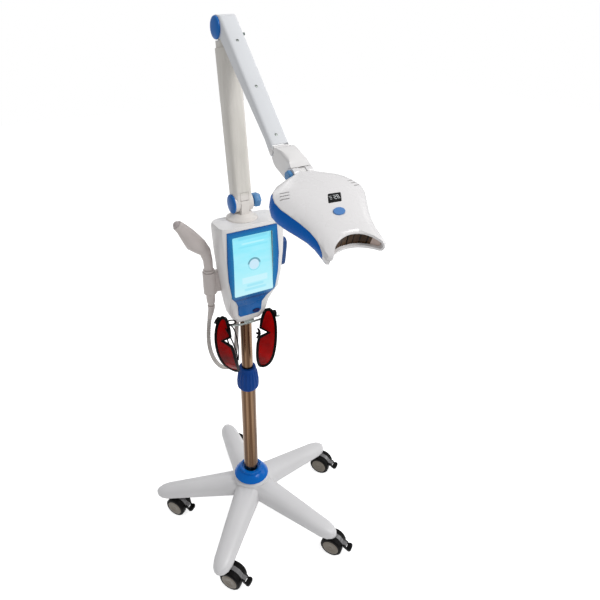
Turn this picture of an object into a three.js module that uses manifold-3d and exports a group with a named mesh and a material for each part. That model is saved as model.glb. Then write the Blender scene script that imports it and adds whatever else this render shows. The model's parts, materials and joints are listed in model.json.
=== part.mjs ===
// A mobile teeth whitening lamp: a five-star castor base, a telescopic pole, a control box with a touch
// screen, a two-piece folding arm and a flared lamp head with a mouth-shaped light outlet.
// Millimetres, +Z up. The screen faces -Y. The pole stands on the Z axis while the pieces are made, and the
// whole lamp is then moved so that the centre of its footprint is the origin.
import * as THREE from 'three';
import { mergeVertices } from 'three/addons/utils/BufferGeometryUtils.js';
import Module from 'manifold-3d';

const wasm = await Module();
wasm.setup();

const DEGREE = Math.PI / 180;
const X = new THREE.Vector3(1, 0, 0);
const Y = new THREE.Vector3(0, 1, 0);
const Z = new THREE.Vector3(0, 0, 1);

// Clearances shared by all pieces
const fit = 0.3; // between two pieces that touch
const running = 0.6; // round a piece that turns or slides
const overrun = 5; // how far a cutting solid passes through

// Base
const pole = {
  lowerRadius: 19, lowerWall: 2.2, lowerBottom: 92, lowerTop: 478, plugHeight: 12,
  upperRadius: 14, upperWall: 1.8, upperBottom: 300, topDrop: 16.5, guideHeight: 24, boltRadius: 6,
};
const star = {
  legs: 5, firstAngle: 153.6, reach: 272.8, start: 18, nose: 34,
  rootHalfWidth: 38, tipHalfWidth: 23.5, rootTop: 127, tipTop: 77, rootBottom: 83, tipBottom: 59,
  hubRadius: 49, hubTop: 132, hubBottom: 80, hubRound: 6,
  wall: 5, pocketStart: 56, pocketEnd: 218, pockets: 2, web: 4,
};
const collar = { radius: 47, rim: 4, dome: 18, neckRadius: 31, top: 160, recessRadius: 24, recessDepth: 4 };
const nut = { washerRadius: 24, washerHeight: 3.5, headRadius: 10, headHeight: 7 };

// Castors
const castor = {
  orbit: 236.8, heading: 34.8, trail: 28, wheelRadius: 29, wheelWidth: 15.5, wheelInner: 6.6, treadRound: 3,
  hubRadius: 9, axleRadius: 3, facets: 18,
  yokeHalfWidth: 6, yokeRadius: 29.6, bossRadius: 12.5, bossTop: 58.7, bossHeight: 4.6, trunkBottom: 40,
  stemRadius: 5.5, stemTop: 72,
  pinRadius: 2, pinReach: 33.5, pinLift: 9, cheekThickness: 3.4, tabHalfWidth: 12, tabLength: 13,
  tabThickness: 6, lugRadius: 4.4,
};

// Clamp sleeve on the lower pole
const sleeve = {
  bottom: 441, top: 504.5, footRadius: 23, waistRadius: 27.5, crownRadius: 20.5, ribDepth: 2, ribs: 18,
};

// Control box
const box = {
  bottom: 652, height: 244.5, halfWidth: 70, shoulder: 9, front: 52, rear: 22, wall: 3.4,
  rearRound: 22, frontRound: 12, seam: 2, spigotHole: 14,
};
const boxTop = box.bottom + box.height;
// height, half width, front, rear and right shoulder of the box from its foot to its top
const boxShares = [
  [0.000, 0.42, 0.37, 0.82, 0.00],
  [0.030, 0.54, 0.41, 0.93, 0.00],
  [0.090, 0.64, 0.45, 1.00, 0.05],
  [0.180, 0.71, 0.50, 1.00, 0.20],
  [0.270, 0.77, 0.70, 1.00, 0.45],
  [0.360, 0.82, 0.94, 1.00, 0.75],
  [0.500, 0.88, 0.98, 1.00, 1.00],
  [0.700, 0.95, 1.00, 1.00, 1.00],
  [0.880, 0.99, 0.96, 1.00, 1.00],
  [0.975, 1.00, 0.93, 1.00, 0.95],
  [1.000, 0.96, 0.90, 0.93, 0.85],
];
const bezel = { halfWidth: 60, footMargin: 16, topMargin: 4.5, proud: 1.2, depth: 1.5 };
// half width against height, from the foot of the bezel to its top
const bezelShares = [
  [0.38, 0.00], [0.47, 0.03], [0.50, 0.14], [0.62, 0.21], [0.85, 0.29], [0.97, 0.50], [1.00, 0.70],
  [0.955, 0.985],
];
const screen = {
  width: 93, height: 138, topMargin: 20.5, footGap: 1.4, thickness: 4, corner: 2.5, frontBottom: 50.6,
  tilt: 3.2,
};
const screenBottom = boxTop - screen.topMargin - screen.height;
const board = { width: 84, height: 112, thickness: 1.6, partHeight: 6 };
// centre, half width and half height of each part on the board
const boardShares = [
  [-0.30, 0.70, 0.16, 0.14], [0.22, 0.62, 0.10, 0.10], [-0.10, 0.34, 0.12, 0.10], [0.30, 0.25, 0.08, 0.16],
];
const supply = { width: 24, depth: 27, height: 84, x: -27, lift: 110, fins: 5, finDepth: 4 };
const key = { x: 16, lift: 24, halfWidth: 9, halfHeight: 4.5, proud: 3, travel: 1.5, depth: 3 };
const grip = { lift: 129, height: 65, front: 44, rear: 20, proud: 9, depth: 2 };

// Handpiece beside the box, with its holder and cable
const holder = { margin: 10, y: 8, lift: 80, height: 52, wall: 4, web: 9, bracket: 40, lip: 3 };
const holderX = -box.halfWidth - holder.margin;
const holderBottom = box.bottom + holder.lift;
const holderTop = holderBottom + holder.height;
const handpiece = {
  drop: 32, height: 200, lean: 50, gripRadius: 10, collarRadius: 12.6, collarHeight: 5,
  lensRadius: 7, lensRim: 2, lensHeight: 6, lensTilt: 42,
};
const handpieceBottom = holderBottom - handpiece.drop;
// lean, height, half width and half depth of the handpiece from its tail to its nose
const handpieceShares = [
  [0.00, 0.00, 0.65, 0.65], [0.00, 0.04, 0.92, 0.92], [0.00, 0.08, 1.00, 1.00], [0.00, 0.43, 1.00, 1.00],
  [0.01, 0.56, 1.05, 1.05], [0.10, 0.665, 1.30, 1.20], [0.32, 0.735, 1.70, 1.40], [0.58, 0.80, 1.95, 1.50],
  [0.80, 0.89, 1.65, 1.35], [1.04, 0.975, 1.25, 1.10], [1.22, 1.025, 1.05, 0.95],
];
// lean and height of the seat of the lens
const lensShares = [1.224, 1.0265];
const cable = { radius: 5, sides: 8, steps: 32, glandX: -23, glandY: 2 };

// Hook rail and the two pairs of goggles
const rail = {
  span: 100, radius: 2.5, sides: 8, steps: 26,
  clampHeight: 5.6, clampFront: 20, clampRear: 15, clampHalfWidth: 12,
};
// across, back and up from the foot of the box: the hook rail from its left end to its right one
const railShares = [
  [-0.845, -0.13, 0.139], [-0.78, -0.206, 0.143], [-0.705, -0.26, 0.134], [-0.60, -0.25, 0.085],
  [-0.48, -0.215, 0.005], [-0.28, -0.20, -0.065], [0, -0.20, -0.08], [0.28, -0.21, -0.07],
  [0.42, -0.28, -0.02], [0.50, -0.35, 0.014], [0.56, -0.386, 0.021], [0.68, -0.415, 0.02],
];
const goggles = {
  halfLength: 76, tipShare: 0.985, wrapRadius: 132.6, thickness: 2.2, browOut: 18, browShare: 0.28,
  noseIn: 17.5, endIn: 9.5, notch: 12.6, notchHalf: 9, notchPlace: 27, notchFallShare: 1.6, stations: 16,
  rim: 5.6, rimDepth: 4.6, lugShare: 0.901, lugHeight: 9, lugDepth: 15, lugWidth: 7.5,
  templeRadius: 1.8, templeDrop: 96, templeSeat: 2, templeBow: 4,
};
// Where each pair hangs under the box, and how it leans and faces
const leftGoggles = { x: -76.1, y: -50, drop: 46.9, tilt: -9, turn: -50, side: -1 };
const rightGoggles = { x: 24.9, y: -56.5, drop: 55, tilt: 6.5, turn: -20, side: 1 };

// Turret and lower arm
const turret = {
  radius: 34, shoulder: 24, coneHeight: 10.2, neckHeight: 13.2, pivotHeight: 33.2, edge: 1, edgeHeight: 3,
  flare: 3, flareHeight: 4, tongueInset: 1, spigotRadius: 11.8, spigotDepth: 34,
};
const turretBottom = boxTop + fit;
const footPivotHeight = turretBottom + turret.pivotHeight;
const arm = {
  rise: 325, back: 42, side: 40, round: 11, wall: 2.6, tongue: 9, eyeRadius: 19, slotDepth: 30, shoulder: 34,
  topInset: 1, neckShare: 0.9,
};
const armLength = Math.hypot(arm.back, arm.rise);
const armLean = Math.atan2(arm.back, arm.rise);
const pin = { radius: 4.6, capRadius: 20, capDome: 6.5, capRim: 2.5 };
const knob = { radius: 15.5, length: 15, lobes: 6, lobeDepth: 2.8, bore: 4.9, neck: 6, neckRadius: 9 };
const lever = {
  length: 17, handle: 17, radius: 2.6, standoff: 5.5, rise: 4, flare: 4, offset: 1.5,
  hubRadius: 6.5, hubLength: 5,
};

// Forearm, from the elbow down to the wrist
const forearm = {
  pitch: 44, length: 275, width: 36, top: 24, rearBottom: -2, endBottom: 11, round: 6, wall: 2.6,
  rearRadius: 21, endDrop: 17, noseRadius: 8.5, slot: 34, trayGap: 17,
};
const spring = {
  radius: 4.2, wire: 1.1, turns: 10, facets: 6, start: 52, end: 180, postHalf: 3, postGap: 4,
};
const wrist = {
  halfWidth: 18.5, tongue: 15.1, halfHeight: 19, bellyShare: 1.12, round: 7, barrel: 12, leaf: 5.5,
  leafInset: 1.5, neck: 20, neckInset: 1, length: 72, pitch: 19.5,
};
const wristKnob = { radius: 9.5, length: 8, lobes: 6, lobeDepth: 1.4, headRadius: 6.4, headHeight: 1.6 };

// Lamp head, in its own frame: s runs from the pivot to the mouth, h is up from the pivot
const head = {
  pitch: 24, length: 181, halfWidth: 83, parting: -2, bottom: -25.2, wall: 4.6, start: 3, tongueEnd: 24,
  rimRadius: 50, rimApex: 147, rimTop: 15.6, rimShare: 1.1, rimDepth: 4.6, rimSides: 44,
  lipRadius: 62, lipApex: 157, crown: 23,
};
// place along the head, half width, crown height and depth
const headShares = [
  [0.000, 0.22, 0.50, 0.38],
  [0.035, 0.34, 0.54, 0.44],
  [0.070, 0.54, 0.60, 0.53],
  [0.115, 0.73, 0.68, 0.65],
  [0.170, 0.87, 0.78, 0.79],
  [0.240, 0.96, 0.88, 0.92],
  [0.310, 1.00, 0.96, 0.98],
  [0.400, 0.97, 1.00, 1.00],
  [0.500, 0.87, 0.98, 0.97],
  [0.600, 0.77, 0.90, 0.87],
  [0.700, 0.69, 0.78, 0.74],
  [0.800, 0.65, 0.66, 0.64],
  [0.920, 0.645, 0.56, 0.57],
  [0.975, 0.645, 0.51, 0.53],
  [1.000, 0.595, 0.38, 0.40],
];
// underside of the head from its left to its right: share of the half width and of the depth
const chineShares = [[-0.995, 0.50], [-0.95, 0.92], [-0.60, 1.00], [0.60, 1.00], [0.95, 0.92], [0.995, 0.50]];
const panel = { rear: 28, front: 167, top: 7, drop: 14, lift: 3.2, depth: 2.2 };
// side panel outline: share of its length against share of its height
const panelShares = [
  [0.00, 0.10], [0.02, 0.50], [0.08, 0.86], [0.16, 0.96], [0.26, 1.00], [0.42, 1.00],
  [0.55, 0.97], [0.68, 0.90], [0.80, 0.80], [0.90, 0.64], [0.97, 0.40], [1.00, 0.14],
];
const display = {
  s: 85.5, x: 7.3, width: 23, length: 17.6, round: 1.6, acrossShare: 0.03, alongShare: 0.5,
  proud: 0.4, depth: 2,
};
const button = { s: 112.5, width: 20.5, length: 13, proud: 1.6, depth: 2.2, travel: 1.4 };
const vent = { count: 3, rear: 49.5, spacing: 6.2, x: 60, offset: 3, length: 14, width: 1.8, turn: 16 };
const outlet = {
  rimGap: -1, rimHeight: 11, lipGap: 5.5, lipHeight: -10.4, thickness: 3, mullion: 2.4, mullionProud: 1,
  end: 172, sweep: 78, steps: 16,
};
const ledBoard = { s: 113.9, halfWidth: 34, middle: -0.5, height: 14, thickness: 1.6, ledRadius: 2.4, leds: 6 };
const sink = { rear: 68, front: 112, halfWidth: 26, base: 3, fins: 8, finThickness: 1.6, top: 6 };
const fan = {
  s: 44, radius: 17, hub: 6, bottom: -7.5, height: 7, blades: 6, bladeThickness: 1.4, bladeTilt: 28,
  post: 2, postTop: -4,
};

// Materials, one call for each piece
const finishes = {
  shell: { color: 0xdcdde0, roughness: 0.35, metalness: 0 },
  baseWhite: { color: 0xd2d4d6, roughness: 0.4, metalness: 0 },
  armCream: { color: 0xd0cfcb, roughness: 0.42, metalness: 0 },
  blue: { color: 0x1e6bc4, roughness: 0.35, metalness: 0 },
  deepBlue: { color: 0x0f4fae, roughness: 0.3, metalness: 0 },
  bezelBlue: { color: 0x1b66a8, roughness: 0.3, metalness: 0 },
  steel: { color: 0x9a8d84, roughness: 0.2, metalness: 0.95 },
  zinc: { color: 0x8d9591, roughness: 0.35, metalness: 0.9 },
  black: { color: 0x101012, roughness: 0.5, metalness: 0 },
  castorGrey: { color: 0xb9babc, roughness: 0.45, metalness: 0 },
  cyan: { color: 0x7fe6f2, roughness: 0.15, metalness: 0 },
  grey: { color: 0xb3b2ae, roughness: 0.4, metalness: 0 },
  green: { color: 0x1f6b3c, roughness: 0.5, metalness: 0.1 },
  red: { color: 0xa00610, roughness: 0.1, metalness: 0 },
  aluminium: { color: 0xb8babd, roughness: 0.35, metalness: 0.9 },
  amber: { color: 0x4a3626, roughness: 0.2, metalness: 0 },
};

const lamp = new THREE.Group();

function add(parent, name, geometry, finish) {
  const mesh = new THREE.Mesh(geometry, new THREE.MeshStandardMaterial(finishes[finish]));
  mesh.name = name;
  parent.add(mesh);
  return mesh;
}

// Shared vertices merged, empty triangles dropped and faces turned outwards
function closed(geometry) {
  const bare = geometry.clone();
  for (const name of Object.keys(bare.attributes)) {
    if (name !== 'position') bare.deleteAttribute(name);
  }
  const merged = mergeVertices(bare, 1e-4);
  const corners = merged.index.array;
  const kept = [];
  for (let i = 0; i < corners.length; i += 3) {
    const [a, b, c] = [corners[i], corners[i + 1], corners[i + 2]];
    if (a !== b && b !== c && c !== a) kept.push(a, b, c);
  }
  const place = merged.attributes.position;
  const [p, q, r] = [new THREE.Vector3(), new THREE.Vector3(), new THREE.Vector3()];
  let volume = 0;
  for (let i = 0; i < kept.length; i += 3) {
    p.fromBufferAttribute(place, kept[i]);
    q.fromBufferAttribute(place, kept[i + 1]);
    r.fromBufferAttribute(place, kept[i + 2]);
    volume += p.dot(q.cross(r));
  }
  if (volume < 0) kept.reverse();
  merged.setIndex(kept);
  return merged;
}

function solid(geometry) {
  const whole = closed(geometry);
  return new wasm.Manifold(new wasm.Mesh({
    numProp: 3,
    vertProperties: new Float32Array(whole.attributes.position.array),
    triVerts: new Uint32Array(whole.index.array),
  }));
}

function geometryOf(body) {
  const mesh = body.getMesh();
  const geometry = new THREE.BufferGeometry();
  geometry.setAttribute('position', new THREE.BufferAttribute(new Float32Array(mesh.vertProperties), 3));
  geometry.setIndex(new THREE.BufferAttribute(new Uint32Array(mesh.triVerts), 1));
  geometry.computeVertexNormals();
  return geometry;
}

function join(first, ...others) {
  let body = solid(first);
  for (const other of others) body = body.add(solid(other));
  return geometryOf(body);
}

function cut(first, ...tools) {
  let body = solid(first);
  for (const tool of tools) body = body.subtract(solid(tool));
  return geometryOf(body);
}

function common(first, second) {
  return geometryOf(solid(first).intersect(solid(second)));
}

function moved(geometry, x, y, z) {
  return geometry.clone().translate(x, y, z);
}

// A block from one corner to the opposite one
function block(x0, x1, y0, y1, z0, z1) {
  const geometry = new THREE.BoxGeometry(x1 - x0, y1 - y0, z1 - z0);
  return geometry.translate((x0 + x1) / 2, (y0 + y1) / 2, (z0 + z1) / 2);
}

// A profile of [radius, height] turned about Z
function turned(profile, segments) {
  const points = profile.map(([r, z]) => new THREE.Vector2(r, z));
  return new THREE.LatheGeometry(points, segments).rotateX(Math.PI / 2);
}

function rodZ(radius, z0, z1, segments = 20) {
  const geometry = new THREE.CylinderGeometry(radius, radius, z1 - z0, segments).rotateX(Math.PI / 2);
  return geometry.translate(0, 0, (z0 + z1) / 2);
}

function rodX(radius, x0, x1, segments = 20) {
  const geometry = new THREE.CylinderGeometry(radius, radius, x1 - x0, segments).rotateZ(Math.PI / 2);
  return geometry.translate((x0 + x1) / 2, 0, 0);
}

// An outline of [y, z] points pushed out along X between two planes
function slabX(outline, x0, x1) {
  const shape = new THREE.Shape(outline.map(([u, v]) => new THREE.Vector2(u, v)));
  const geometry = new THREE.ExtrudeGeometry(shape, { depth: x1 - x0, bevelEnabled: false });
  geometry.applyMatrix4(new THREE.Matrix4().makeBasis(Y, Z, X));
  return geometry.translate(x0, 0, 0);
}

// An outline of [x, z] points pushed out along -Y between two planes
function slabY(outline, front, rear) {
  const shape = new THREE.Shape(outline.map(([u, v]) => new THREE.Vector2(u, v)));
  const geometry = new THREE.ExtrudeGeometry(shape, { depth: rear - front, bevelEnabled: false });
  geometry.applyMatrix4(new THREE.Matrix4().makeBasis(X, Z, Y.clone().negate()));
  return geometry.translate(0, rear, 0);
}

// An outline of [x, y] points pushed up between two heights
function slabZ(outline, z0, z1) {
  const shape = new THREE.Shape(outline.map(([u, v]) => new THREE.Vector2(u, v)));
  const geometry = new THREE.ExtrudeGeometry(shape, { depth: z1 - z0, bevelEnabled: false });
  return geometry.translate(0, 0, z0);
}

function arc(cx, cy, radius, from, to, steps) {
  const points = [];
  for (let i = 0; i <= steps; i += 1) {
    const angle = (from + ((to - from) * i) / steps) * DEGREE;
    points.push([cx + radius * Math.cos(angle), cy + radius * Math.sin(angle)]);
  }
  return points;
}

function oval(cx, cy, a, b, steps) {
  return arc(0, 0, 1, 0, 360 - 360 / steps, steps - 1).map(([u, v]) => [cx + a * u, cy + b * v]);
}

function roundedRectangle(x0, x1, y0, y1, radius, steps = 3) {
  return [
    ...arc(x1 - radius, y1 - radius, radius, 0, 90, steps),
    ...arc(x0 + radius, y1 - radius, radius, 90, 180, steps),
    ...arc(x0 + radius, y0 + radius, radius, 180, 270, steps),
    ...arc(x1 - radius, y0 + radius, radius, 270, 360, steps),
  ];
}

// A skin through rings of equally many points, with flat ends or joined end to end
function loft(rings, endless = false) {
  const count = rings[0].length;
  const positions = rings.flat().flatMap((p) => [p.x, p.y, p.z]);
  const index = [];
  const spans = endless ? rings.length : rings.length - 1;
  for (let i = 0; i < spans; i += 1) {
    const next = (i + 1) % rings.length;
    for (let j = 0; j < count; j += 1) {
      const k = (j + 1) % count;
      const [a, b, c, d] = [i * count + j, i * count + k, next * count + k, next * count + j];
      index.push(a, b, c, a, c, d);
    }
  }
  if (!endless) {
    for (const [ring, flip] of [[0, true], [rings.length - 1, false]]) {
      const centre = new THREE.Vector3();
      for (const p of rings[ring]) centre.addScaledVector(p, 1 / count);
      const hub = positions.length / 3;
      positions.push(centre.x, centre.y, centre.z);
      for (let j = 0; j < count; j += 1) {
        const [a, b] = [ring * count + j, ring * count + ((j + 1) % count)];
        index.push(...(flip ? [hub, b, a] : [hub, a, b]));
      }
    }
  }
  const geometry = new THREE.BufferGeometry();
  geometry.setAttribute('position', new THREE.Float32BufferAttribute(positions, 3));
  geometry.setIndex(index);
  return geometry;
}

// A round tube along a smooth curve through points
function tube(points, radius, sides, steps) {
  const path = new THREE.CatmullRomCurve3(points.map((p) => new THREE.Vector3(...p)), false, 'centripetal');
  const outline = arc(0, 0, radius, 0, 360 - 360 / sides, sides - 1);
  const section = new THREE.Shape(outline.map((p) => new THREE.Vector2(...p)));
  return new THREE.ExtrudeGeometry(section, { steps, extrudePath: path, bevelEnabled: false });
}

// Round rings of changing radius along a list of places, square to the way from one to the next
function tapered(places, sides) {
  const path = new THREE.CatmullRomCurve3(places.map(([x, y, z]) => new THREE.Vector3(x, y, z)));
  const last = places.length - 1;
  const rings = places.map(([, , , radius, depth], i) => {
    const middle = path.getPoint(i / last);
    const along = path.getTangent(i / last);
    const side = new THREE.Vector3().crossVectors(along, Y).normalize();
    return arc(0, 0, 1, 0, 360 - 360 / sides, sides - 1).map(([u, v]) => (
      middle.clone().addScaledVector(side, u * radius).addScaledVector(Y, v * depth)
    ));
  });
  return loft(rings);
}

// A knob with scalloped lobes about X, from x0 outwards
function lobedKnob({ radius, length, lobes, lobeDepth }, x0, bore) {
  const outline = [];
  const steps = lobes * 4;
  for (let i = 0; i < steps; i += 1) {
    const angle = (2 * Math.PI * i) / steps;
    const reach = radius - lobeDepth * (0.5 - 0.5 * Math.cos(lobes * angle));
    outline.push([reach * Math.cos(angle), reach * Math.sin(angle)]);
  }
  const ring = (x, share) => outline.map(([u, v]) => new THREE.Vector3(x, u * share, v * share));
  const body = loft([
    ring(x0, 0.9), ring(x0 + length * 0.2, 1), ring(x0 + length * 0.8, 1), ring(x0 + length, 0.82),
  ]);
  if (!bore) return body;
  return cut(body, rodX(bore, x0 - overrun, x0 + length * 0.6, 12));
}

// The foot knob stands off the arm on a neck
function footKnob() {
  const face = arm.side / 2 + fit;
  const neck = cut(
    rodX(knob.neckRadius, face, face + knob.neck + fit, 14),
    rodX(knob.bore, face - overrun, face + knob.neck + overrun, 12),
  );
  return join(lobedKnob(knob, face + knob.neck, knob.bore), neck);
}

// A domed cap about X that looks towards -X, with a pin through to the other side
function capWithPin(inner, pinEnd) {
  const { capRadius, capDome, capRim, radius } = pin;
  const profile = [[0, 0], [capRadius, 0], [capRadius, capRim]];
  const steps = 4;
  for (let i = 1; i <= steps; i += 1) {
    const angle = (90 * i * DEGREE) / steps;
    const reach = i === steps ? 0 : capRadius * Math.cos(angle);
    profile.push([reach, capRim + (capDome - capRim) * Math.sin(angle)]);
  }
  const cap = turned(profile, 18).rotateY(-Math.PI / 2).translate(inner, 0, 0);
  return join(cap, rodX(radius, inner - capRim / 2, pinEnd, 16));
}

function mirrored(geometry) {
  const copy = geometry.clone().scale(-1, 1, 1);
  return closed(copy);
}

// Base
function legSolid(from, to, inset) {
  const { reach, start, nose } = star;
  const { rootHalfWidth, tipHalfWidth, rootTop, tipTop, rootBottom, tipBottom } = star;
  const stations = inset ? 1 : 3;
  const places = [];
  const bodyEnd = Math.min(to, reach - nose);
  for (let i = 0; i <= stations; i += 1) places.push(from + ((bodyEnd - from) * i) / stations);
  if (to > bodyEnd) {
    for (const angle of [32, 58, 80]) places.push(bodyEnd + nose * Math.sin(angle * DEGREE));
  }
  const rings = places.map((r) => {
    const t = (r - start) / (reach - start);
    const past = Math.max(0, (r - (reach - nose)) / nose);
    const round = Math.sqrt(1 - past * past);
    const half = (rootHalfWidth + (tipHalfWidth - rootHalfWidth) * t) * round - inset;
    const low = rootBottom + (tipBottom - rootBottom) * Math.min(1, t * 1.1);
    const high = rootTop + (tipTop - rootTop) * t;
    const top = low + (high - low) * (0.45 + 0.55 * round) - inset;
    const bottom = inset ? low - overrun : low;
    return arc(0, 0, 1, 0, 180, 6).map(([u, v]) => new THREE.Vector3(
      r,
      -half * Math.sign(u) * Math.abs(u) ** 0.8,
      bottom + (top - bottom) * Math.abs(v) ** 0.8,
    ));
  });
  return loft(rings);
}

function starBase() {
  const { legs, firstAngle, start, reach, hubRadius, hubTop, hubBottom, hubRound } = star;
  const { wall, pocketStart, pocketEnd, pockets, web } = star;
  const { lowerRadius, lowerBottom, boltRadius } = pole;
  const { orbit, stemRadius, stemTop } = castor;
  const hub = turned([
    [0, hubBottom], [hubRadius - hubRound, hubBottom], [hubRadius, hubBottom + hubRound],
    [hubRadius, hubTop - hubRound], [hubRadius - hubRound, hubTop], [0, hubTop],
  ], 30);
  let body = solid(hub);
  const length = (pocketEnd - pocketStart) / pockets;
  for (let i = 0; i < legs; i += 1) {
    const turn = (firstAngle + (360 * i) / legs) * DEGREE;
    body = body.add(solid(legSolid(start, reach, 0).rotateZ(turn)));
  }
  for (let i = 0; i < legs; i += 1) {
    const turn = (firstAngle + (360 * i) / legs) * DEGREE;
    for (let j = 0; j < pockets; j += 1) {
      const from = pocketStart + length * j;
      body = body.subtract(solid(legSolid(from, from + length - web, wall).rotateZ(turn)));
    }
    const bore = rodZ(stemRadius + running, 0, stemTop + fit, 16).translate(orbit, 0, 0).rotateZ(turn);
    body = body.subtract(solid(bore));
  }
  body = body.subtract(solid(rodZ(lowerRadius + fit, lowerBottom - fit, hubTop + overrun, 32)));
  body = body.subtract(solid(rodZ(boltRadius + running, hubBottom - overrun, lowerBottom + overrun, 16)));
  return geometryOf(body);
}

function baseCollar() {
  const { radius, rim, dome, neckRadius, top, recessRadius, recessDepth } = collar;
  const bottom = star.hubTop + fit;
  const inner = pole.lowerRadius + fit;
  return turned([
    [inner, bottom], [radius - rim, bottom], [radius, bottom + rim / 2], [radius - rim / 2, bottom + rim],
    [(radius + neckRadius) / 2, bottom + dome * 0.75], [neckRadius, bottom + dome],
    [neckRadius, top - rim / 2], [neckRadius - rim / 2, top], [recessRadius, top],
    [recessRadius, top - recessDepth], [inner, top - recessDepth], [inner, bottom],
  ], 24);
}

function lowerPole() {
  const { lowerRadius, lowerWall, lowerBottom, lowerTop, plugHeight, boltRadius } = pole;
  const inner = lowerRadius - lowerWall;
  return turned([
    [boltRadius + fit, lowerBottom], [lowerRadius, lowerBottom], [lowerRadius, lowerTop], [inner, lowerTop],
    [inner, lowerBottom + plugHeight], [boltRadius + fit, lowerBottom + plugHeight],
    [boltRadius + fit, lowerBottom],
  ], 28);
}

function poleNut() {
  const { washerRadius, washerHeight, headRadius, headHeight } = nut;
  const top = star.hubBottom - fit;
  return turned([
    [0, top - washerHeight - headHeight], [headRadius, top - washerHeight - headHeight],
    [headRadius, top - washerHeight], [washerRadius, top - washerHeight], [washerRadius, top],
    [pole.boltRadius, top], [pole.boltRadius, pole.lowerBottom + pole.plugHeight + washerHeight],
    [0, pole.lowerBottom + pole.plugHeight + washerHeight],
  ], 18);
}

function upperPole() {
  const { lowerRadius, lowerWall, upperRadius, upperWall, upperBottom, topDrop, guideHeight } = pole;
  const guide = lowerRadius - lowerWall - running;
  const inner = upperRadius - upperWall;
  const top = boxTop - topDrop;
  return turned([
    [inner, upperBottom], [guide, upperBottom], [guide, upperBottom + guideHeight],
    [upperRadius, upperBottom + guideHeight], [upperRadius, top], [inner, top], [inner, upperBottom],
  ], 24);
}

function clampSleeve() {
  const { bottom, top, footRadius, waistRadius, crownRadius, ribDepth, ribs } = sleeve;
  const { lowerRadius, lowerTop, upperRadius } = pole;
  const height = top - bottom;
  const levels = [
    [0, footRadius, 0], [0.08, waistRadius - ribDepth / 2, 0], [0.16, waistRadius, 1], [0.38, waistRadius, 1],
    [0.80, (waistRadius + crownRadius) / 2, 1], [0.86, crownRadius + ribDepth / 2, 0], [1, crownRadius, 0],
  ];
  const rings = levels.map(([share, radius, ribbed]) => {
    const ring = [];
    for (let i = 0; i < ribs * 2; i += 1) {
      const angle = (Math.PI * i) / ribs;
      const reach = radius - (i % 2 ? ribDepth * ribbed : 0);
      ring.push(new THREE.Vector3(reach * Math.cos(angle), reach * Math.sin(angle), bottom + height * share));
    }
    return ring;
  });
  return cut(
    loft(rings),
    rodZ(lowerRadius + running, bottom - overrun, lowerTop + fit, 24),
    rodZ(upperRadius + running, bottom, top + overrun, 24),
  );
}

// Castors, made at the origin with the stem on Z and the wheels trailing towards -Y
function castorYoke() {
  const { trail, yokeHalfWidth, yokeRadius, bossRadius, bossTop, bossHeight, trunkBottom } = castor;
  const { stemRadius, stemTop, axleRadius, hubRadius, pinRadius, pinReach, pinLift, lugRadius } = castor;
  const centre = axleHeight();
  const outline = [
    ...arc(-trail, centre, yokeRadius, 172, 22, 6),
    ...arc(-trail, centre, hubRadius, -20, -160, 3),
  ];
  const web = slabX(outline, -yokeHalfWidth, yokeHalfWidth);
  const boss = rodZ(bossRadius, bossTop - bossHeight, bossTop, 12);
  const stem = rodZ(stemRadius, bossTop - overrun, stemTop, 8);
  const lug = rodX(lugRadius, -yokeHalfWidth, yokeHalfWidth, 8)
    .translate(0, -trail - pinReach, centre + pinLift);
  const arm = block(
    -yokeHalfWidth, yokeHalfWidth,
    -trail - pinReach, -trail - yokeRadius * 0.8, centre + pinLift - lugRadius, centre + pinLift + lugRadius,
  );
  const trunk = block(-yokeHalfWidth, yokeHalfWidth, -trail, bossRadius * 0.6, trunkBottom, bossTop);
  const joined = join(web, trunk, boss, stem, lug, arm);
  return cut(
    joined,
    rodX(axleRadius + fit, -yokeHalfWidth - overrun, yokeHalfWidth + overrun, 10)
      .translate(0, -trail, centre),
    rodX(pinRadius + fit, -yokeHalfWidth - overrun, yokeHalfWidth + overrun, 8)
      .translate(0, -trail - pinReach, centre + pinLift),
  );
}

// Half the angle of one facet puts a flat facet on the floor
function axleHeight() {
  return castor.wheelRadius * Math.cos(Math.PI / castor.facets);
}

function castorWheels() {
  const { wheelRadius, wheelWidth, wheelInner, treadRound, axleRadius, trail } = castor;
  const outer = wheelInner + wheelWidth;
  const half = [
    [axleRadius, wheelInner], [wheelRadius, wheelInner], [wheelRadius, outer - treadRound],
    [wheelRadius - treadRound, outer], [0, outer],
  ];
  const profile = [...half.map(([r, z]) => [r, -z]).reverse(), ...half];
  return turned(profile, castor.facets).rotateY(Math.PI / 2).translate(0, -trail, axleHeight());
}

function castorBrake() {
  const { trail, yokeHalfWidth, pinRadius, pinReach, pinLift, lugRadius } = castor;
  const { cheekThickness, tabHalfWidth, tabLength, tabThickness } = castor;
  const inner = yokeHalfWidth + fit;
  const outer = inner + cheekThickness;
  const rear = -lugRadius - running;
  const tab = roundedRectangle(-tabHalfWidth, tabHalfWidth, rear - tabLength, rear, tabThickness, 2);
  const plate = slabZ(tab, -lugRadius - tabThickness / 2, -lugRadius + tabThickness / 2);
  const cheek = (x0, x1) => slabX([
    ...arc(0, 0, lugRadius, -20, 180, 5), [-lugRadius - tabThickness, -lugRadius],
    [-lugRadius - tabThickness, -lugRadius - tabThickness / 2], [rear, -lugRadius - tabThickness / 2],
  ], x0, x1);
  const shaft = rodX(pinRadius, -inner - fit, inner + fit, 8);
  return join(plate, cheek(inner, outer), cheek(-outer, -inner), shaft)
    .translate(0, -trail - pinReach, axleHeight() + pinLift);
}

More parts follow.
